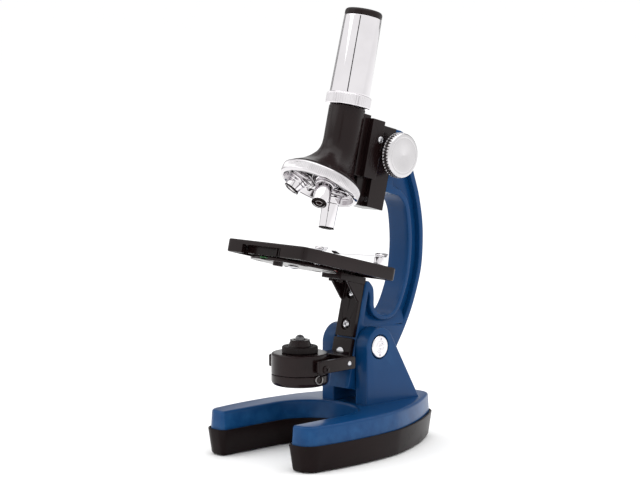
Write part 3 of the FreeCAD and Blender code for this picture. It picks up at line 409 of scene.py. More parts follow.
def enamel():
    paint = {"shade": (0.0028, 0.042, 0.136), "light": (0.0034, 0.048, 0.156), "wornAndHighlit": (0.02, 0.10, 0.25),
             "peelScale": 420, "peelDepth": 0.00004}
    f = Finish("blueEnamel")
    clouds = f.ramp(f.noise(26, 2), 0.35, 0.7)
    body = f.blend(clouds, paint["shade"], paint["light"])
    # Lighter blue on convex edges: partly rubbed wear, partly a painted edge highlight.
    edge = f.ramp(f.add("ShaderNodeNewGeometry", output="Pointiness"), 0.515, 0.56)
    wornAndHighlitEdge = edge * f.ramp(f.noise(160, 4), 0.35, 0.75) * 0.55
    peel = f.noise(paint["peelScale"], 2)
    dust = f.noise(2600, 2)
    return f.set(colour=f.blend(wornAndHighlitEdge, body, paint["wornAndHighlit"]), rough=0.27 + 0.04 * f.noise(60, 3), gloss=0.16,
                 coat=0.06 - 0.03 * wornAndHighlitEdge, coatRough=0.06,
                 normal=f.bump(peel + 0.15 * dust, 0.35, paint["peelDepth"]))


def blackMoulding(name="blackMoulding", tint=1.0, dull=0.0, shine=0.2):
    plastic = {"shade": (0.0075, 0.0035, 0.0036), "light": (0.0145, 0.0072, 0.0074), "grainScale": 1500}
    f = Finish(name)
    flow = f.ramp(f.noise(34, 3), 0.3, 0.75)
    shade = tuple(v * tint for v in plastic["shade"])
    light = tuple(v * tint for v in plastic["light"])
    grain = f.noise(plastic["grainScale"], 3, 0.6)
    scuffs = f.ramp(f.noise(210, 5, 0.7), 0.58, 0.78)
    return f.set(colour=f.blend(flow, shade, light), rough=0.20 + dull + 0.12 * scuffs + 0.05 * grain,
                 gloss=shine, normal=f.bump(grain + 0.4 * flow, 0.22, 0.00002))


def plating(name="brightPlating", base=0.025, tone=(0.80, 0.775, 0.795)):
    f = Finish(name)
    smears = f.ramp(f.noise(70, 4, 0.6), 0.42, 0.72)
    haze = f.noise(900, 2)
    dull = tuple(v * 0.86 for v in tone)
    return f.set(colour=f.blend(smears * 0.5, tone, dull), metal=1.0, rough=base + 0.05 * smears,
                 normal=f.bump(haze, 0.08, 0.00001))


def brightSteel():
    f = Finish("brightSteel")
    stretched = f.add("ShaderNodeMapping", {}, {"Vector": f.place(), "Scale": (300, 2600, 2600)})
    brushed = f.add("ShaderNodeTexNoise", {}, {"Vector": stretched, "Scale": 1.0, "Detail": 3}, "Fac")
    return f.set(colour=f.blend(brushed, (0.52, 0.52, 0.54), (0.74, 0.74, 0.76)), metal=1.0,
                 rough=0.16 + 0.16 * brushed, normal=f.bump(brushed, 0.12, 0.00001))


def softRubber():
    f = Finish("softRubber")
    grain = f.noise(1800, 3)
    return f.set(colour=f.blend(grain, (0.018, 0.018, 0.018), (0.04, 0.04, 0.04)), rough=0.72 + 0.15 * grain,
                 normal=f.bump(grain, 0.4, 0.00004))


def pressedFibre():
    f = Finish("pressedFibre")
    strands = f.noise(1400, 5, 0.7)
    return f.set(colour=f.blend(strands, (0.16, 0.09, 0.05), (0.32, 0.2, 0.12)), rough=0.75 + 0.1 * strands,
                 normal=f.bump(strands, 0.5, 0.00004))


def clearGlass(name="coatedGlass", tint=(0.93, 0.96, 0.98)):
    f = Finish(name)
    dust = f.ramp(f.noise(900, 3), 0.6, 0.8)
    return f.set(colour=f.blend(dust * 0.3, tint, (0.8, 0.82, 0.84)), rough=0.02 + 0.05 * dust, glassy=0.9,
                 bend=1.5)


def epoxyDome():
    f = Finish("epoxyDome")
    cloud = f.ramp(f.noise(700, 3), 0.4, 0.7)
    return f.set(colour=f.blend(cloud, (0.05, 0.05, 0.055), (0.13, 0.13, 0.14)), rough=0.06 + 0.04 * cloud,
                 coat=0.8, coatRough=0.03)


def circuitLaminate():
    f = Finish("circuitLaminate")
    weave = f.noise(1300, 4)
    return f.set(colour=f.blend(weave, (0.02, 0.12, 0.04), (0.05, 0.22, 0.09)), rough=0.4 + 0.2 * weave,
                 normal=f.bump(weave, 0.2, 0.00002))


def cutBrass():
    f = Finish("cutBrass")
    turned = f.noise(1100, 4)
    return f.set(colour=f.blend(turned, (0.30, 0.19, 0.07), (0.46, 0.31, 0.13)), metal=1.0,
                 rough=0.26 + 0.15 * turned, normal=f.bump(turned, 0.15, 0.00001))


finishes = {
    "blue_enamel": enamel(), "black_moulding": blackMoulding(), "chrome_plating": plating(),
    "steel_fastener": brightSteel(), "pad_rubber": softRubber(), "fibre_washer": pressedFibre(),
    "optical_glass": clearGlass(), "filter_red": clearGlass("redSheet", (0.75, 0.06, 0.05)),
    "filter_green": clearGlass("greenSheet", (0.06, 0.5, 0.12)),
    "filter_blue": clearGlass("blueSheet", (0.06, 0.14, 0.65)), "led_lens": epoxyDome(),
    "board_laminate": circuitLaminate(), "mirror_face": plating("silveredMirror", 0.015, (0.93, 0.93, 0.94)),
    "brass_gear": cutBrass(),
}
softBlack = blackMoulding("softBlack", 0.6, 0.3)
trayBlack = blackMoulding("trayBlack", 0.75, 0.12, 0.09)
clipSteel = plating("clipSteel", 0.3, (0.74, 0.73, 0.75))
knobPlating = plating("knobPlating", 0.16, (0.66, 0.645, 0.655))
turretPlating = plating("turretPlating", 0.05, (0.68, 0.66, 0.675))
cellPlating = plating("cellPlating", 0.25, (0.50, 0.46, 0.46))
latchWire = plating("latchWire", 0.3, (0.30, 0.285, 0.28))
slotOf = {row["node"]: row["material_slot"] for row in frame["record"]["subparts"]}
print("finishes ready:", len(finishes))



def settle(obj, body, slotName, nodes=(), finish=None, sharpness=32):
    obj.data.shade_smooth()
    obj.data.set_sharp_from_angle(angle=math.radians(sharpness))
    obj.data.materials.clear()
    obj.data.materials.append(finish or finishes[slotName])
    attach(obj, body)
    if nodes:
        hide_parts(*nodes)


# Base: a horseshoe casting on a drafted tray.
horseshoe = {"bay": 24.3, "bayCentre": -20.5, "halfLength": 57.05, "draft": 0.9, "lip": 2.05, "foot": 0.25,
             "corner": 1.8, "seat": 9.0, "trayFloor": 0.4, "trayRim": 13.5, "top": 22.7}


def horseshoeOutline(edge):
    shape = horseshoe
    centre = shape["bayCentre"]
    bay = shape["bay"] - edge
    tip = -shape["halfLength"] - edge
    corner = max(0.5, shape["corner"] + edge)

    def moved(x, y, facing):
        way = math.radians(facing)
        return (x + edge * math.cos(way), y + edge * math.sin(way))

    prongCorner = moved(36.2, -50.3, -10)
    widest = moved(35.4, 5.5, 13)
    heel = moved(13.2, 53.2, 31)
    right = [(bay, centre + (tip + corner - centre) * i / 12) for i in range(12)]
    cut = 0.29 * corner
    right += arcThrough((bay, tip + corner), (bay + cut, tip + cut), (bay + corner, tip), 6)
    right += arcThrough(moved(30.5, -shape["halfLength"], -90), moved(34.7, -54.6, -46), prongCorner, 12)
    right += arcThrough(prongCorner, moved(37.9, -25.0, 0), widest, 24)[1:]
    right += arcThrough(widest, moved(27.5, 27.9, 27), heel, 24)[1:]
    right += arcThrough(heel, moved(10.3, 56.0, 60), moved(6.4, shape["halfLength"], 90), 8)[1:]
    left = [(-x, y) for x, y in reversed(right)]
    endX, endY = right[-1]
    back = [(endX * (1 - i / 4), endY) for i in range(1, 8)]
    bend = arcThrough((-bay, centre), (0, centre + bay), (bay, centre), 40)
    return right + back + left + bend[1:-1]


def layered(name, levels):
    return skin(name, [[(x, y, height) for x, y in horseshoeOutline(edge)] for edge, height in levels])


def roundedShoulder(edge, height, radius, steps=6):
    # Levels that turn a wall over into a flat lid with a rounded edge.
    turns = [math.pi / 2 * i / steps for i in range(steps + 1)]
    return [(edge - (1 - math.cos(turn)) * radius, height - radius * (1 - math.sin(turn))) for turn in turns]


def makeBase():
    shape = horseshoe
    foot, floor, rim, draft = shape["foot"], shape["trayFloor"], shape["trayRim"], shape["draft"]
    tray = layered("baseTray", [(foot - 1.0, floor), (foot - 0.35, floor + 0.25), (foot + 0.1, floor + 1.0)]
                   + roundedShoulder(shape["lip"], rim, 0.5)
                   + [(draft + 0.35, rim), (draft + 0.1, rim - 0.3), (draft + 0.1, shape["seat"])])
    settle(tray, "base", "black_moulding", ["base_tray"], finish=trayBlack)
    casting = layered("baseCasting", [(draft, shape["seat"]), (0.15, shape["top"] - 1.6)]
                      + roundedShoulder(0.1, shape["top"], 1.4)[1:])
    side = {"front": 4.6, "round": 9.9, "drop": 0.16, "slope": math.radians(31.24), "root": 20.6,
            "inner": 7.6, "outer": 16.0, "recess": 2.6}
    pivotY, pivotZ = spotOf("arm_tilt")[1:]
    front, reach, slope, root = side["front"], side["round"], side["slope"], side["root"]
    centreY, centreZ = front + reach, pivotZ - side["drop"]
    leave = (centreY + reach * math.cos(slope), centreZ + reach * math.sin(slope))
    toe = leave[0] + (leave[1] - root) * math.tan(slope)
    leg = [(front, root)] + arcThrough((front, centreZ), (centreY, centreZ + reach), leave, 26)
    leg += [(toe - 1.2, root + 2.0), (toe, root)]
    recess = [(0, 0), (6.3, 0), (6.3, 2.3), (6.75, 2.75), (6.75, 8), (0, 8)]
    for direction in (-1, 1):
        low, high = sorted((direction * side["inner"], direction * side["outer"]))
        carve(casting, plate("leg", [leg], low, high, 0.8, sideways), "UNION")
        recessX = direction * (side["outer"] - side["recess"])
        seat = axisSeat(rowSeat, (recessX, pivotY, pivotZ), (direction, 0, 0))
        carve(casting, lathe("recess", recess, seat, 72))
    settle(casting, "base", "blue_enamel", ["base_casting"], sharpness=38)


def makePivotCaps():
    cap = {"seat": 13.4, "radius": 5.73, "face": 2.85, "holeCircle": 4.1, "holeLean": 0.45,
           "holeRadius": 0.62, "holeDepth": 0.8}
    pivotY, pivotZ = spotOf("arm_tilt")[1:]
    radius, face = cap["radius"], cap["face"]
    profile = [(0, 0), (radius, 0), (radius, face - 0.5), (radius - 0.5, face), (3.1, face),
               (2.9, face + 0.22), (2.2, face + 0.22), (2.0, face - 0.1), (1.3, face - 0.1),
               (0.8, face + 0.35), (0, face + 0.4)]
    caps = []
    for direction in (-1, 1):
        outwards = (direction, 0, 0)
        seat = axisSeat(rowSeat, (direction * cap["seat"], pivotY, pivotZ), outwards)
        body = lathe("cap", softened(profile, 0.18, 3, False), seat, 96)
        holeX = direction * (cap["seat"] + face - cap["holeDepth"])
        for way in (-1, 1):
            hole = (holeX, pivotY + cap["holeLean"] * way, pivotZ + cap["holeCircle"] * way)
            carve(body, lathe("drill", disc(cap["holeRadius"], 0, 3), axisSeat(rowSeat, hole, outwards), 24))
        caps.append(body)
    settle(merged("pivotCaps", caps), "base", "chrome_plating", ["pivot_caps"])


# Arm: an I-section casting; outlines are u backwards, w along the tube.
armShape = {"half": 7.0, "web": 3.8, "front": -8.7, "foot": -23.5, "headFace": -6.0, "headTop": 110.5,
            "rim": 0.75}


def armOutline():
    front, foot, headFace, headTop = (armShape[word] for word in ("front", "foot", "headFace", "headTop"))
    inner = flowing([(-6.3, 31.8), (-2.6, 29.2), (-0.8, 24.6), (0.6, 19.8), (4.0, 17.2), (8.0, 16.5),
                     (12.5, 17.5), (16.2, 21.0), (18.6, 28.5), (19.9, 40.0), (18.1, 54.6), (13.5, 68.5),
                     (9.3, 75.1), (4.5, 78.0)])
    outer = flowing([(-0.4, headTop - 0.3), (6.3, 101.5), (13.3, 91.0), (19.7, 81.3), (25.5, 69.3),
                     (28.9, 58.0), (30.9, 46.0), (30.6, 35.0), (28.9, 23.0), (26.0, 12.0), (22.6, 2.5),
                     (17.0, -13.0), (11.0, foot)])
    head = [(headFace, 78.1), (headFace, headTop), (-2.2, headTop)]
    neck = [(front, foot), (front, -10.0), (front, 10.0), (front, 31.0), (front + 0.8, 31.8)]
    return neck + inner + head + outer


def recessOutline():
    inner = flowing([(-5.4, 26.6), (-4.0, 24.6), (-2.6, 19.5), (1.5, 15.2), (8.0, 14.1), (14.6, 16.1),
                     (18.7, 20.5), (21.2, 28.5), (22.4, 40.0), (20.7, 55.0), (16.0, 69.4), (11.2, 77.3),
                     (4.8, 81.2)])
    outer = flowing([(-1.5, 103.0), (4.6, 97.8), (11.0, 89.0), (17.3, 79.6), (22.9, 68.0), (26.2, 57.2),
                     (28.2, 45.5), (27.9, 35.5), (26.3, 24.0), (23.9, 15.6)])
    bottom = [(23.2, 14.2), (0.0, 10.4), (-4.4, 9.6), (-5.4, 10.6)]
    return inner + [(-0.6, 81.9), (-1.5, 82.8)] + outer + bottom


def makeArm():
    # The ridges slope in from the rim to the web, and stay a hair below the window's floor.
    ridge = {"outside": 6.7, "inside": 3.7, "sunk": 1.5, "rise": 5.6, "start": 10.2, "slope": 0.2534,
             "ends": (-6.5, 24.5), "gap": 0.06}
    half, web = armShape["half"], armShape["web"]
    flat = armSeat @ sideways
    lowered = shifted(armSeat, 0, 0, -ridge["gap"]) @ sideways
    arm = plate("armCasting", [armOutline(), recessOutline()], -half, half, armShape["rim"], flat)
    carve(arm, plate("web", [armOutline()], -web, web, 0.4, flat), "UNION")
    for side in (-1, 1):
        outside, inside = side * ridge["outside"], side * ridge["inside"]
        rings = []
        for u in ridge["ends"]:
            low = ridge["start"] + ridge["slope"] * u
            sunk = low - ridge["sunk"]
            high = low + ridge["rise"]
            rings.append([(outside, u, sunk), (outside, u, low), (inside, u, high), (inside, u, sunk)])
        wedge = skin("wedge", rings, armSeat)
        carve(wedge, plate("limit", [armOutline()], -half, half, 0.3, lowered), "INTERSECT")
        carve(arm, wedge, "UNION")
    settle(sealed(arm), "arm", "blue_enamel", ["arm_casting"], sharpness=36)


# Stage: a hollow square tray with a finger notch in front.
def makeStage():
    tray = {"depth": 6.6, "corner": 3.0, "skin": 1.8, "roof": 1.0, "well": 5.0, "notch": (-15.7, 11.0),
            "notchRoof": 2.2, "ribs": (5.6, 7.4, 9.2), "ribThick": 0.7, "boss": 3.2}
    (x0, x1), (u0, u1), (_, top) = spanOf("stage", armSeat)
    low, roof, thick = top - tray["depth"], top - tray["roof"], tray["skin"]
    left, right = tray["notch"]
    loop = softened([(x0, u0), (x1, u0), (x1, u1), (x0, u1)], tray["corner"], 8)
    well = [(x, opticalU + y) for x, y in circle(tray["well"], 48)]
    stage = plate("stageTray", [loop, well[::-1]], low, top, 0.7, armSeat)
    cuts = (("hollow", (x0 + thick, u0 + thick, low - 2), (x1 - thick, u1 - thick, top - thick)),
            ("notch", (left, u0 - 2, low - 2), (right, u0 + thick + 0.5, top - tray["notchRoof"])))
    for name, corner, opposite in cuts:
        carve(stage, boxy(name, corner, opposite, armSeat))
    walls = [("notchWall", (left - 1.0, u0 + 5.2, low + 0.5), (right + 1.0, u0 + 6.4, roof))]
    walls += [("rib", (x, u0 + 2.4, low + 0.8), (x + tray["ribThick"], u0 + 5.6, roof)) for x in tray["ribs"]]
    for name, corner, opposite in walls:
        carve(stage, boxy(name, corner, opposite, armSeat), "UNION")
    discSeat = shifted(armSeat, 0, inSeat(armSeat, "disc_turn")[1])
    carve(stage, lathe("boss", disc(tray["boss"], low - 0.3, roof), discSeat, 32), "UNION")
    settle(stage, "arm", "black_moulding", ["stage"])


def makeClips():
    clip = {"path": [(-13.5, 46.1), (-14.4, 44.5), (-15.2, 43.95), (-17.5, 43.9), (-20.2, 43.9),
                     (-34.0, 42.2), (-46.0, 40.7), (-48.2, 40.75), (-50.8, 41.7)],
            "half": 2.2, "thick": 0.42, "tipNarrows": 0.45, "tailNarrows": 0.3, "eye": 1.22}
    post = {"foot": 1.8, "radius": 2.5, "neck": 1.2, "shoulder": 39.8, "neckLow": 43.5, "neckHigh": 44.3}
    wide, neck, shoulder = post["radius"], post["neck"], post["shoulder"]
    for word in ("left", "right"):
        spotX, spotU = inSeat(armSeat, f"clip_{word}_swing")[:2]
        stand = shifted(armSeat, spotX, spotU)
        low, high = spanOf(f"clip_post_{word}", armSeat)[2]
        profile = [(0, low), (post["foot"], low), (post["foot"], shoulder), (wide, shoulder),
                   (wide, post["neckLow"]), (neck, post["neckLow"]), (neck, post["neckHigh"]),
                   (wide, post["neckHigh"]), (wide, high - 0.8), (1.6, high - 0.15), (0, high)]
        body = lathe(f"clipPost_{word}", softened(profile, 0.25, 3, False), stand, 48)
        settle(body, f"clip_{word}", "chrome_plating", [f"clip_post_{word}"])
        line = flowing(clip["path"], 6)
        rings = []
        for i, (u, w) in enumerate(line):
            share = i / (len(line) - 1)
            tip = 1 - clip["tipNarrows"] * max(0, (share - 0.9) / 0.1) ** 2
            tail = 1 - clip["tailNarrows"] * max(0, (0.06 - share) / 0.06) ** 2
            half = clip["half"] * tip * tail
            side = squareTo(line, i) * clip["thick"] / 2
            rings.append([(spotX + x, u + way * side.x, w + way * side.y)
                          for x, way in ((-half, -1), (half, -1), (half, 1), (-half, 1))])
        strip = skin(f"clipSpring_{word}", rings, armSeat)
        carve(strip, lathe("eye", disc(clip["eye"], 40, 48), stand, 32))
        settle(strip, f"clip_{word}", "steel_fastener", [f"clip_spring_{word}"], finish=clipSteel)


def panHead(name, seat, radius, height, shank, length):
    # A domed head with a cross recess; the seat's Z leaves the head.
    dome = [(0, -length), (shank, -length), (shank, 0), (radius, 0), (radius, height * 0.35),
            (radius * 0.9, height * 0.72), (radius * 0.6, height * 0.95), (0, height)]
    screw = lathe(name, softened(dome, 0.2, 3, False), seat, 48)
    slit, arm, floor = radius * 0.14, radius * 0.56, height * 0.35
    turned = seat @ Matrix.Rotation(math.radians(35), 4, "Z")
    for x, y in ((arm, slit), (slit, arm)):
        carve(screw, boxy("slit", (-x, -y, floor), (x, y, height + 1), turned))
    return screw


def makeScrews():
    sizes = {  # head radius and height, shank radius and length
        "bracket": (2.1, 1.45, 1.5, 8), "gib": (1.7, 1.0, 1.0, 4), "trunnion": (2.0, 0.88, 1.3, 6.5),
        "disc": (2.6, 1.4, 1.5, 6),
    }
    _, (front, _), (low, high) = spanOf("bracket_screws", armSeat)
    heads = [panHead("head", axisSeat(armSeat, (0, front + 1.5, w), (0, -1, 0)), *sizes["bracket"])
             for w in (low + 2.1, high - 2.1)]
    settle(merged("bracketScrews", heads), "arm", "steel_fastener", ["bracket_screws"])
    (_, edge), (u0, u1), (w0, w1) = spanOf("gib_screws", armSeat)
    heads = []
    for side in (-1, 1):
        seat = axisSeat(armSeat, (side * (edge - 1.0), (u0 + u1) / 2, (w0 + w1) / 2), (side, 0, 0))
        heads.append(panHead("head", seat, *sizes["gib"]))
    settle(merged("gibScrews", heads), "tube", "steel_fastener", ["gib_screws"])
    edge = spanOf("lamp_trunnions", lampSeat)[0][1] - 0.9
    heads = [panHead("head", axisSeat(lampSeat, (side * edge, 0, 0), (side, 0, 0)), *sizes["trunnion"])
             for side in (-1, 1)]
    settle(merged("lampTrunnions", heads), "lamp", "black_moulding", ["lamp_trunnions"])
    below = (0, inSeat(armSeat, "disc_turn")[1], spanOf("disc_screw", armSeat)[2][0] + 1.4)
    head = panHead("discScrew", axisSeat(armSeat, below, (0, 0, -1)), *sizes["disc"])
    settle(head, "arm", "steel_fastener", ["disc_screw"])
    (_, edge), (y0, y1), (z0, z1) = spanOf("fork_rivets", rowSeat)
    rivet = [(0, -2.5), (0.88, -2.5), (0.88, 0), (1.3, 0), (1.2, 0.35), (0.7, 0.6), (0, 0.66)]
    domes = []
    for side in (-1, 1):
        seat = axisSeat(rowSeat, (side * (edge - 0.6), (y0 + y1) / 2, (z0 + z1) / 2), (side, 0, 0))
        domes.append(lathe("rivet", softened(rivet, 0.1, 2, False), seat, 32))
    settle(merged("forkRivets", domes), "arm", "steel_fastener", ["fork_rivets"])


# Body tube: a round tube that flares into a tilted skirt over the nosepiece.
def makeBodyTube():
    tube = {"radius": 9.2, "top": 115.2, "flareTop": 99.0, "skirt": 18.15, "thick": 1.0, "gap": 3.35,
            "steps": 26, "around": 120}
    radius, top, flareTop, thick = tube["radius"], tube["top"], tube["flareTop"], tube["thick"]
    normal = Vector((0, math.sin(turretSlope), math.cos(turretSlope)))
    skirt = Vector((0, turretU, turretW)) + normal * (tube["gap"] + thick)

    def ring(centre, slope, reach):
        back = Vector((0, math.cos(slope), -math.sin(slope)))
        return [tuple(centre + Vector((x, 0, 0)) + back * y) for x, y in circle(reach, tube["around"])]

    rings = [ring(Vector((0, opticalU, top - drop)), 0, radius - inset)
             for drop, inset in ((0, 0.5), (0.15, 0.15), (0.5, 0))]
    for i in range(tube["steps"] + 1):
        share = i / tube["steps"]
        centreU = opticalU + (skirt.y - opticalU) * share ** 2.2
        centre = Vector((0, centreU, flareTop + (skirt.z - flareTop) * share))
        reach = radius + (tube["skirt"] - radius) * share ** 3.2
        rings.append(ring(centre, turretSlope * min(1.0, share * 1.6), reach))
    for depth, extra in ((0.2, 0.04), (thick - 0.2, 0.04), (thick, -0.2)):
        rings.append(ring(skirt - normal * depth, turretSlope, tube["skirt"] + extra))
    horn = skin("bodyTube", rings, armSeat)
    window = {"reach": 20.2, "radius": 4.2, "facing": math.radians(-47)}
    spot = (window["reach"] * math.cos(window["facing"]), window["reach"] * math.sin(window["facing"]),
            tube["gap"] - 1)
    carve(horn, lathe("window", disc(window["radius"], 0, 12), shifted(turretSeat, *spot), 48))
    settle(horn, "tube", "black_moulding", ["body_tube"], sharpness=40)


def makeEyepiece():
    tube = {"bore": 8.3, "low": 10.2, "high": 9.5, "lip": 0.35}
    grip = {"radius": 11.4, "bore": 8.28, "spigot": 7.0, "spigotLow": 104, "rise": 11.35, "ribs": 60,
            "depth": 0.28}
    cap = {"radius": 9.5, "seat": 8.25, "bore": 6.9, "opening": 4.2}
    low, high = spanOf("eyepiece_tube", opticalSeat)[2]
    profile = [(tube["bore"], low), (tube["low"] - 0.25, low), (tube["low"], low + 0.5),
               (tube["high"], high - 0.6), (tube["high"] - 0.15, high - 0.1), (tube["bore"], high - 0.1)]
    chrome = lathe("eyepieceTube", softened(profile, tube["lip"], 4), opticalSeat, 128)
    settle(chrome, "eyepiece", "chrome_plating", ["eyepiece_tube"])
    foot = spanOf("grip_ring", opticalSeat)[2][0] + grip["rise"]
    radius, spigot = grip["radius"], grip["spigot"]
    profile = [(spigot, grip["spigotLow"]), (grip["bore"], grip["spigotLow"]), (grip["bore"], foot),
               (radius - 0.4, foot), (radius, foot + 0.4), (radius, foot + 1.1), (radius, low - 1.1),
               (radius, low - 0.4), (radius - 0.4, low), (8.6, low), (8.6, foot + 2), (spigot, foot + 2)]
    ribs = {"low": foot + 0.3, "high": low - 0.3, "inside": 10.9, "depth": grip["depth"],
            "count": grip["ribs"]}
    ring = lathe("gripRing", softened(profile, 0.3, 3), opticalSeat, 480, ribs)
    settle(ring, "eyepiece", "chrome_plating", ["grip_ring"])
    top, edge, opening = spanOf("eyepiece_cap", opticalSeat)[2][1], cap["radius"], cap["opening"]
    bore, seat = cap["bore"], cap["seat"]
    profile = [(opening, top - 2.1), (bore, top - 2.1), (bore, high - 4), (seat, high - 4),
               (seat, high), (edge - 0.05, high), (edge, high + 0.3), (edge, top - 1.1),
               (9.0, top - 0.3), (8.4, top), (7.2, top), (5.2, top - 1.0), (opening + 0.1, top - 1.2)]
    body = lathe("eyeCap", softened(profile, 0.45, 4), opticalSeat, 96)
    settle(body, "eyepiece", "black_moulding", ["eyepiece_cap"])


# Nosepiece: the objectives lean out from one apex on the tilted turning axis.
apex = (opticalU - turretU) / math.sin(turretSlope)
mountDistance = apex / math.cos(turretSlope)


def objectiveSeat(angle):
    return (turretSeat @ Matrix.Translation((0, 0, apex * mm)) @ Matrix.Rotation(math.radians(angle), 4, "Z")
            @ Matrix.Rotation(math.pi + turretSlope, 4, "X"))


def makeTurret():
    rim = {"radius": 20.6, "half": 3.0, "plate": 1.0, "ribs": 130, "depth": 0.4}
    radius, half, face, start = rim["radius"], rim["half"], rim["plate"], mountDistance
    profile = [(0, face), (2.6, face), (2.6, face - 0.5), (5.0, face - 0.5), (5.2, face), (15.4, face),
               (15.6, face - 0.6), (16.6, face - 0.6), (16.8, face), (17.5, face), (18.5, 0.5 - half),
               (18.8, -half), (19.6, -half), (radius, 0.9 - half), (radius, 1.5 - half), (radius, half - 1.5),
               (radius, half - 0.7), (radius - 0.7, half), (0, half)]
    ribs = {"low": 1.4 - half, "high": half - 1.4, "inside": 20.0, "depth": rim["depth"],
            "count": rim["ribs"]}
    shells = [lathe("turretDisc", softened(profile, 0.3, 3, False), turretSeat, 900, ribs)]
    collar = [(5.28, start - 1.2), (7.4, start - 1.2), (7.4, start + 0.5), (7.1, start + 0.9),
              (6.3, start + 0.9), (6.1, start + 0.5), (5.28, start + 0.5)]
    for angle in (0, 120, 240):
        ring = lathe("collar", softened(collar, 0.25, 3), objectiveSeat(angle), 72)
        shells.append(carve(ring, lathe("above", disc(24, half - 0.2, 12), turretSeat, 64)))
    for angle in (60, 180, 300):
        spin = turretSeat @ Matrix.Rotation(math.radians(angle), 4, "Z")
        shells.append(boxy("stiffener", (-0.6, 6.0, face - 1.6), (0.6, 17.6, face + 0.2), spin))
    settle(merged("turretDisc", shells), "turret", "chrome_plating", ["turret_disc"], finish=turretPlating)


def makeObjectives():
    table = {  # angle round the nosepiece, reach from the apex, neck, barrel and tip radii, neck length
        "high": (0, 51.5, 4.75, 4.25, 3.85, 3.2),
        "medium": (-120, 48.6, 4.7, 4.4, 3.8, 2.4),
        "low": (120, 41.5, 4.8, 4.5, 4.1, 1.6),
    }
    collar, pane = 5.2, 1.95
    start, step = mountDistance - 1.4, mountDistance + 2.2
    knurl = {"low": start + 1.0, "high": step - 0.5, "inside": 5.0, "depth": 0.3, "count": 44}
    for word, (angle, end, neck, barrel, tip, length) in table.items():
        seat = objectiveSeat(angle)
        mount = softened([(0, start), (collar, start), (collar, step - 0.3)], 0.1, 2, False)
        barrels = [(collar, step - 0.3), (neck + 0.1, step), (neck, step + 0.4), (neck, step + length - 0.3),
                   (barrel, step + length), (barrel, step + length + 0.3), (tip + 0.06, end - 0.9),
                   (tip - 0.25, end - 0.75), (tip - 0.25, end - 0.45), (tip, end - 0.35), (tip - 0.3, end),
                   (tip - 0.75, end), (tip - 0.9, end - 0.35), (0, end - 0.35)]
        profile = mount[:2] + [(collar, start + 1.0), (collar, step - 0.7)] + mount[2:]
        profile += softened(barrels, 0.14, 3, False)[1:]
        body = lathe(f"objective_{word}", profile, seat, 264, knurl)
        settle(body, "turret", "chrome_plating", [f"objective_{word}"])
        band = [(tip - 0.5, end - 0.7), (tip + 0.05, end - 0.7), (tip + 0.05, end - 0.3), (tip - 0.25, end),
                (tip - 0.5, end)]
        cell = [(1.25, end - 1.2), (1.25, end - 0.5), (1.45, end - 0.22), (1.75, end - 0.22),
                (pane, end - 0.5), (pane, end - 1.2)]
        face = [(1.9, end - 1.4), (1.9, end - 0.75), (2.1, end - 0.3), (tip - 0.95, end - 0.12),
                (tip - 0.8, end - 0.3), (tip - 0.8, end - 1.4)]
        rings = (("tipBand", softened(band, 0.1, 2), 72, "black_moulding", softBlack),
                 ("lensCell", softened(cell, 0.08, 2), 48, "chrome_plating", cellPlating),
                 ("tipFace", softened(face, 0.1, 2), 72, "black_moulding", softBlack))
        for name, outline, steps, slotName, finish in rings:
            settle(lathe(f"{name}_{word}", outline, seat, steps), "turret", slotName, finish=finish)
        lens = [(0, end - 1.4), (pane, end - 1.4), (pane, end - 0.9)] + domed(pane, 0.45, end - 0.9, 8)
        glass = lathe(f"frontLens_{word}", lens, seat, 48)
        settle(glass, "turret", "optical_glass", [f"lens_{word}"], sharpness=60)


def makeKnobs():
    knob = {"radius": 11.55, "thick": 5.0, "bore": 2.02, "back": 8.6, "teeth": 44, "depth": 0.55}
    radius, thick, bore, back = knob["radius"], knob["thick"], knob["bore"], knob["back"]
    profile = [(bore, 0), (back, 0), (back, 0.5), (radius - 0.5, 0.5), (radius, 1.0), (radius, 1.3),
               (radius, thick - 1.9), (radius - 0.1, thick - 1.5), (radius - 0.35, thick - 0.8),
               (radius - 1.0, thick - 0.15), (radius - 1.6, thick), (9.2, thick), (9.05, thick - 0.12),
               (8.9, thick - 0.12), (8.75, thick), (8.0, thick), (0, thick), (0, thick - 1.4),
               (bore, thick - 1.4)]
    ribs = {"low": 0.9, "high": thick - 0.8, "inside": radius - 0.6, "depth": knob["depth"],
            "count": knob["teeth"]}
    axleU, axleW = inSeat(armSeat, "focus_knob")[1:]
    for word, side in (("left", -1), ("right", 1)):
        inner = min(abs(edge) for edge in spanOf(f"focus_knob_{word}", armSeat)[0])
        seat = axisSeat(armSeat, (side * inner, axleU, axleW), (side, 0, 0))
        body = lathe(f"focusKnob_{word}", softened(profile, 0.2, 3), seat, 528, ribs)
        settle(body, "focus_shaft", "chrome_plating", [f"focus_knob_{word}"], finish=knobPlating)


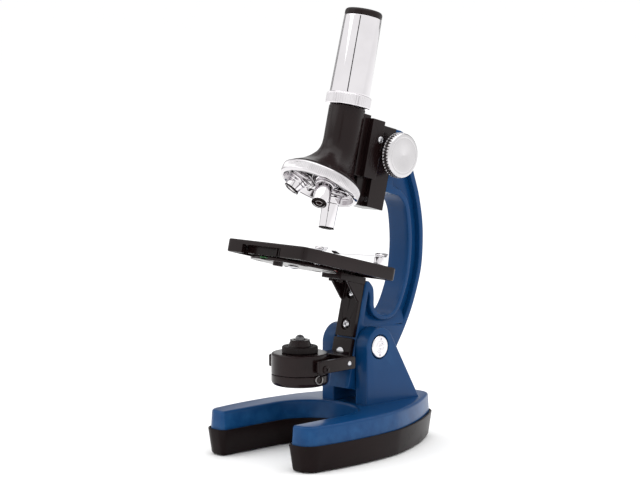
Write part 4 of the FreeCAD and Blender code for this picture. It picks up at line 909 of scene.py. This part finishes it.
# Lamp: a drum that flips in a fork.
def makeLamp():
    drum = {"radius": 14.3, "bore": 12.7, "coverBore": 12.6, "glassWell": 11.3, "deckHole": 5.0}
    radius, bore, coverBore, well, hole = drum.values()
    pivotHeight = lampSeat.translation.z / mm

    def turned(name, profile, rounding, steps, around, closed=True, ribs=None):
        lowered = [(reach, height - pivotHeight) for reach, height in profile]
        return lathe(name, softened(lowered, rounding, steps, closed), lampSeat, around, ribs)

    def heights(node):
        return [corner[2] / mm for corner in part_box(node)]

    low = heights("battery_cover")[0]
    seam, deck = heights("lamp_case")
    case = [(bore, seam), (radius - 0.25, seam), (radius, seam + 0.3), (radius, deck - 0.9),
            (radius - 0.25, deck - 0.3), (radius - 0.9, deck), (hole, deck), (hole, deck - 1.6),
            (bore, deck - 1.6)]
    shell = turned("lampCase", case, 0.3, 4, 128)
    boss = [(0, 0), (2.8, 0), (2.8, 3.6), (2.5, 3.9), (0, 3.9)]
    for side in (-1, 1):
        carve(shell, lathe("boss", boss, axisSeat(lampSeat, (side * 11.0, 0, 0), (side, 0, 0)), 48), "UNION")
    settle(shell, "lamp", "black_moulding", ["lamp_case"])
    cover = [(0, low + 1.9), (well, low + 1.9), (well, low), (12.2, low), (13.2, low + 0.35),
             (13.9, low + 1.0), (radius, low + 2.0), (radius, seam - 0.45), (radius - 0.25, seam - 0.12),
             (coverBore, seam - 0.12), (coverBore, low + 3.2), (0, low + 3.2)]
    settle(turned("batteryCover", cover, 0.3, 3, 128, False), "lamp", "black_moulding", ["battery_cover"])
    foot, crown = heights("lamp_ring")
    ring = [(6.2, foot), (8.8, foot), (9.0, foot + 0.4), (9.0, crown - 0.6), (8.7, crown - 0.1), (8.3, crown),
            (6.2, crown)]
    ribs = {"low": foot + 0.5 - pivotHeight, "high": crown - 0.5 - pivotHeight, "inside": 8.5, "depth": 0.14,
            "count": 60}
    body = turned("lampRing", ring, 0.25, 3, 360, ribs=ribs)
    settle(body, "lamp", "black_moulding", ["lamp_ring"], finish=softBlack)
    top = heights("lamp_cone")[1]
    cone = [(2.55, crown - 3), (6.1, crown - 3), (6.1, crown), (5.8, crown + 0.1), (4.85, top - 0.55),
            (5.0, top - 0.45), (5.0, top), (3.4, top), (2.55, top - 0.6)]
    settle(turned("lampCone", cone, 0.2, 3, 96), "lamp", "black_moulding", ["lamp_cone"])
    led = {"radius": 2.45, "foot": 54}
    foot, top = led["foot"] - pivotHeight, top - pivotHeight
    radius = led["radius"]
    dome = [(0, foot), (radius, foot), (radius, top)] + domed(radius, radius, top, 12)
    settle(lathe("ledDome", dome, lampSeat, 64), "lamp", "led_lens", ["led"], sharpness=60)


def makeFork():
    bars = {"inner": 15.6, "outer": 18.0, "low": 43.2, "high": 49.6, "back": -6.0, "crossFront": -9.4,
            "nose": 4.3, "corner": 1.1}
    neck = {"half": 5.6, "outline": [(-7.0, 43.0), (4.0, 43.0), (5.4, 44.5), (5.4, 49.4), (-7.0, 49.4)]}
    pad = {"half": 6.4, "thick": 2.6, "low": -13.0, "high": 1.6}
    low, high, back, inner, outer = bars["low"], bars["high"], bars["back"], bars["inner"], bars["outer"]
    nose, crossFront = spotOf("lamp_flip")[1] - bars["nose"], bars["crossFront"]
    bar = softened([(nose, high), (nose, low), (back, low), (back, high)], bars["corner"], 4)
    cross = softened([(crossFront, low), (back, low), (back, high), (crossFront, high)], 0.8, 3)
    fork = plate("lampFork", [bar], inner, outer, 0.45, sideways)
    carve(fork, plate("arm", [bar], -outer, -inner, 0.45, sideways), "UNION")
    carve(fork, plate("cross", [cross], 0.3 - outer, outer - 0.3, 0.4, sideways), "UNION")
    root = plate("neck", [softened(neck["outline"], 0.8, 3)], -neck["half"], neck["half"], 0.5, sideways)
    face = armShape["front"]
    front = face - pad["thick"]
    outline = [(front, pad["low"]), (face, pad["low"]), (face, pad["high"]), (front, pad["high"])]
    shoe = plate("pad", [softened(outline, 0.6, 3)], -pad["half"], pad["half"], 0.5, armSeat @ sideways)
    carve(root, boxy("behind", (-15, face, -40), (15, face + 20, 30), armSeat))
    carve(fork, root, "UNION")
    carve(fork, shoe, "UNION")
    settle(fork, "arm", "black_moulding", ["lamp_fork"])


def makeLatch():
    wire = {"thick": 0.28, "x": 14.8, "path": [(-1.2, -3.4), (-2.9, -3.9), (-3.7, -5.4), (-2.7, -7.0),
                                               (-0.9, -7.5), (0.7, -6.7), (1.0, -5.0), (0.3, -4.3)]}
    pivotY, pivotZ = spotOf("lamp_flip")[1:]
    line = flowing(wire["path"], 6)
    rings = []
    for i, (y, z) in enumerate(line):
        side = squareTo(line, i)
        rings.append([(wire["x"] + out, pivotY + y + side.x * over, pivotZ + z + side.y * over)
                      for out, over in circle(wire["thick"], 12)])
    settle(skin("coverLatch", rings), "lamp", "steel_fastener", ["cover_latch"], finish=latchWire)


for stepName, step in (("base", makeBase), ("pivot caps", makePivotCaps), ("arm", makeArm),
                       ("stage", makeStage), ("clips", makeClips), ("screws", makeScrews),
                       ("body tube", makeBodyTube), ("eyepiece", makeEyepiece), ("nosepiece", makeTurret),
                       ("objectives", makeObjectives), ("knobs", makeKnobs), ("lamp", makeLamp),
                       ("fork", makeFork), ("latch", makeLatch)):
    step()
    print("made", stepName)


# The other pieces keep the frame's own shape and take their finish; a few also get eased edges.
easing = {"stage_bracket": 0.45, "focus_rail": 0.35, "focus_carriage": 0.4, "aperture_disc": 0.25,
          "base_pads": 0.2}
for name, obj in frame["nodes"].items():
    obj.data.materials.clear()
    obj.data.materials.append(finishes[slotOf[name]])
    if name in easing and not obj.hide_render:
        weld = obj.modifiers.new("weld", "WELD")
        weld.merge_threshold = 0.00001
        ease = obj.modifiers.new("ease", "BEVEL")
        ease.width = easing[name] * mm
        ease.segments = 3
        ease.angle_limit = math.radians(50)
        ease.harden_normals = True
print("frame pieces dressed:", len(frame["nodes"]))


# Studio: pale floor, white surround and two soft lamps.
def makeStudio():
    studio = {"surround": 1.04, "floorSize": 30}
    scene = bpy.context.scene
    scene.view_settings.view_transform = "Standard"
    scene.view_settings.look = "None"
    world = bpy.data.worlds.new("studio")
    scene.world = world
    world.use_nodes = True
    surround = world.node_tree.nodes["Background"]
    surround.inputs["Color"].default_value = (1, 1, 1, 1)
    surround.inputs["Strength"].default_value = studio["surround"]
    work = bmesh.new()
    bmesh.ops.create_grid(work, x_segments=8, y_segments=8, size=studio["floorSize"])
    f = Finish("paleFloor")
    grain = f.noise(90, 3)
    floor = shown("floor", meshFrom(work, "floor"))
    pale = f.blend(grain, (0.95, 0.95, 0.95), (0.98, 0.98, 0.98))
    floor.data.materials.append(f.set(colour=pale, rough=0.8, gloss=0.0))
    lamps = (  # name, place, size, watts
        ("keySoftbox", (-0.7, -0.9, 1.2), 1.0, 3),
        ("topSoftbox", (0.1, 0.1, 1.5), 1.6, 9),
    )
    for name, spot, across, watts in lamps:
        light = bpy.data.lights.new(name, "AREA")
        light.energy = watts
        light.size = across
        lamp = shown(name, light)
        lamp.location = spot
        lamp.rotation_euler = (Vector((0, 0, 0.1)) - Vector(spot)).to_track_quat("-Z", "Y").to_euler()


def makeCards():
    # One dark strip and two grey backdrops that only glossy surfaces mirror.
    cards = {  # name: facing, distance, width, height, grey
        "line": (-59.6, 1.15, 0.12, 1.0, 0.01), "backdropLeft": (160.0, 2.6, 2.2, 2.4, 0.34),
        "backdropRight": (108.0, 2.6, 2.2, 2.4, 0.34),
    }
    for name, (facing, away, wide, tall, grey) in cards.items():
        f = Finish(name + "Paper")
        weave = f.noise(40, 2)
        pale = grey * 1.2
        paper = f.set(colour=f.blend(weave, (grey, grey, grey), (pale, pale, pale)), rough=0.9, gloss=0.0)
        turn = Matrix.Rotation(math.radians(facing), 4, "Z")
        work = bmesh.new()
        corners = ((-wide / 2, 0.02), (wide / 2, 0.02), (wide / 2, tall), (-wide / 2, tall))
        work.faces.new([work.verts.new(turn @ Vector((away, y, z))) for y, z in corners])
        card = shown(name, meshFrom(work, name))
        card.data.materials.append(paper)
        card.visible_camera = False
        card.visible_diffuse = False
        card.visible_shadow = False


def makeCamera():
    view = {"place": (0.7932, -0.8182, 0.2371), "pitch": 83.43, "turn": 44.57, "lens": 128.35, "sensor": 36}
    data = bpy.data.cameras.new("camera")
    data.lens = view["lens"]
    data.sensor_width = view["sensor"]
    camera = shown("camera", data)
    camera.location = view["place"]
    camera.rotation_euler = (math.radians(view["pitch"]), 0, math.radians(view["turn"]))
    bpy.context.scene.camera = camera


makeStudio()
makeCards()
makeCamera()
print("studio ready")
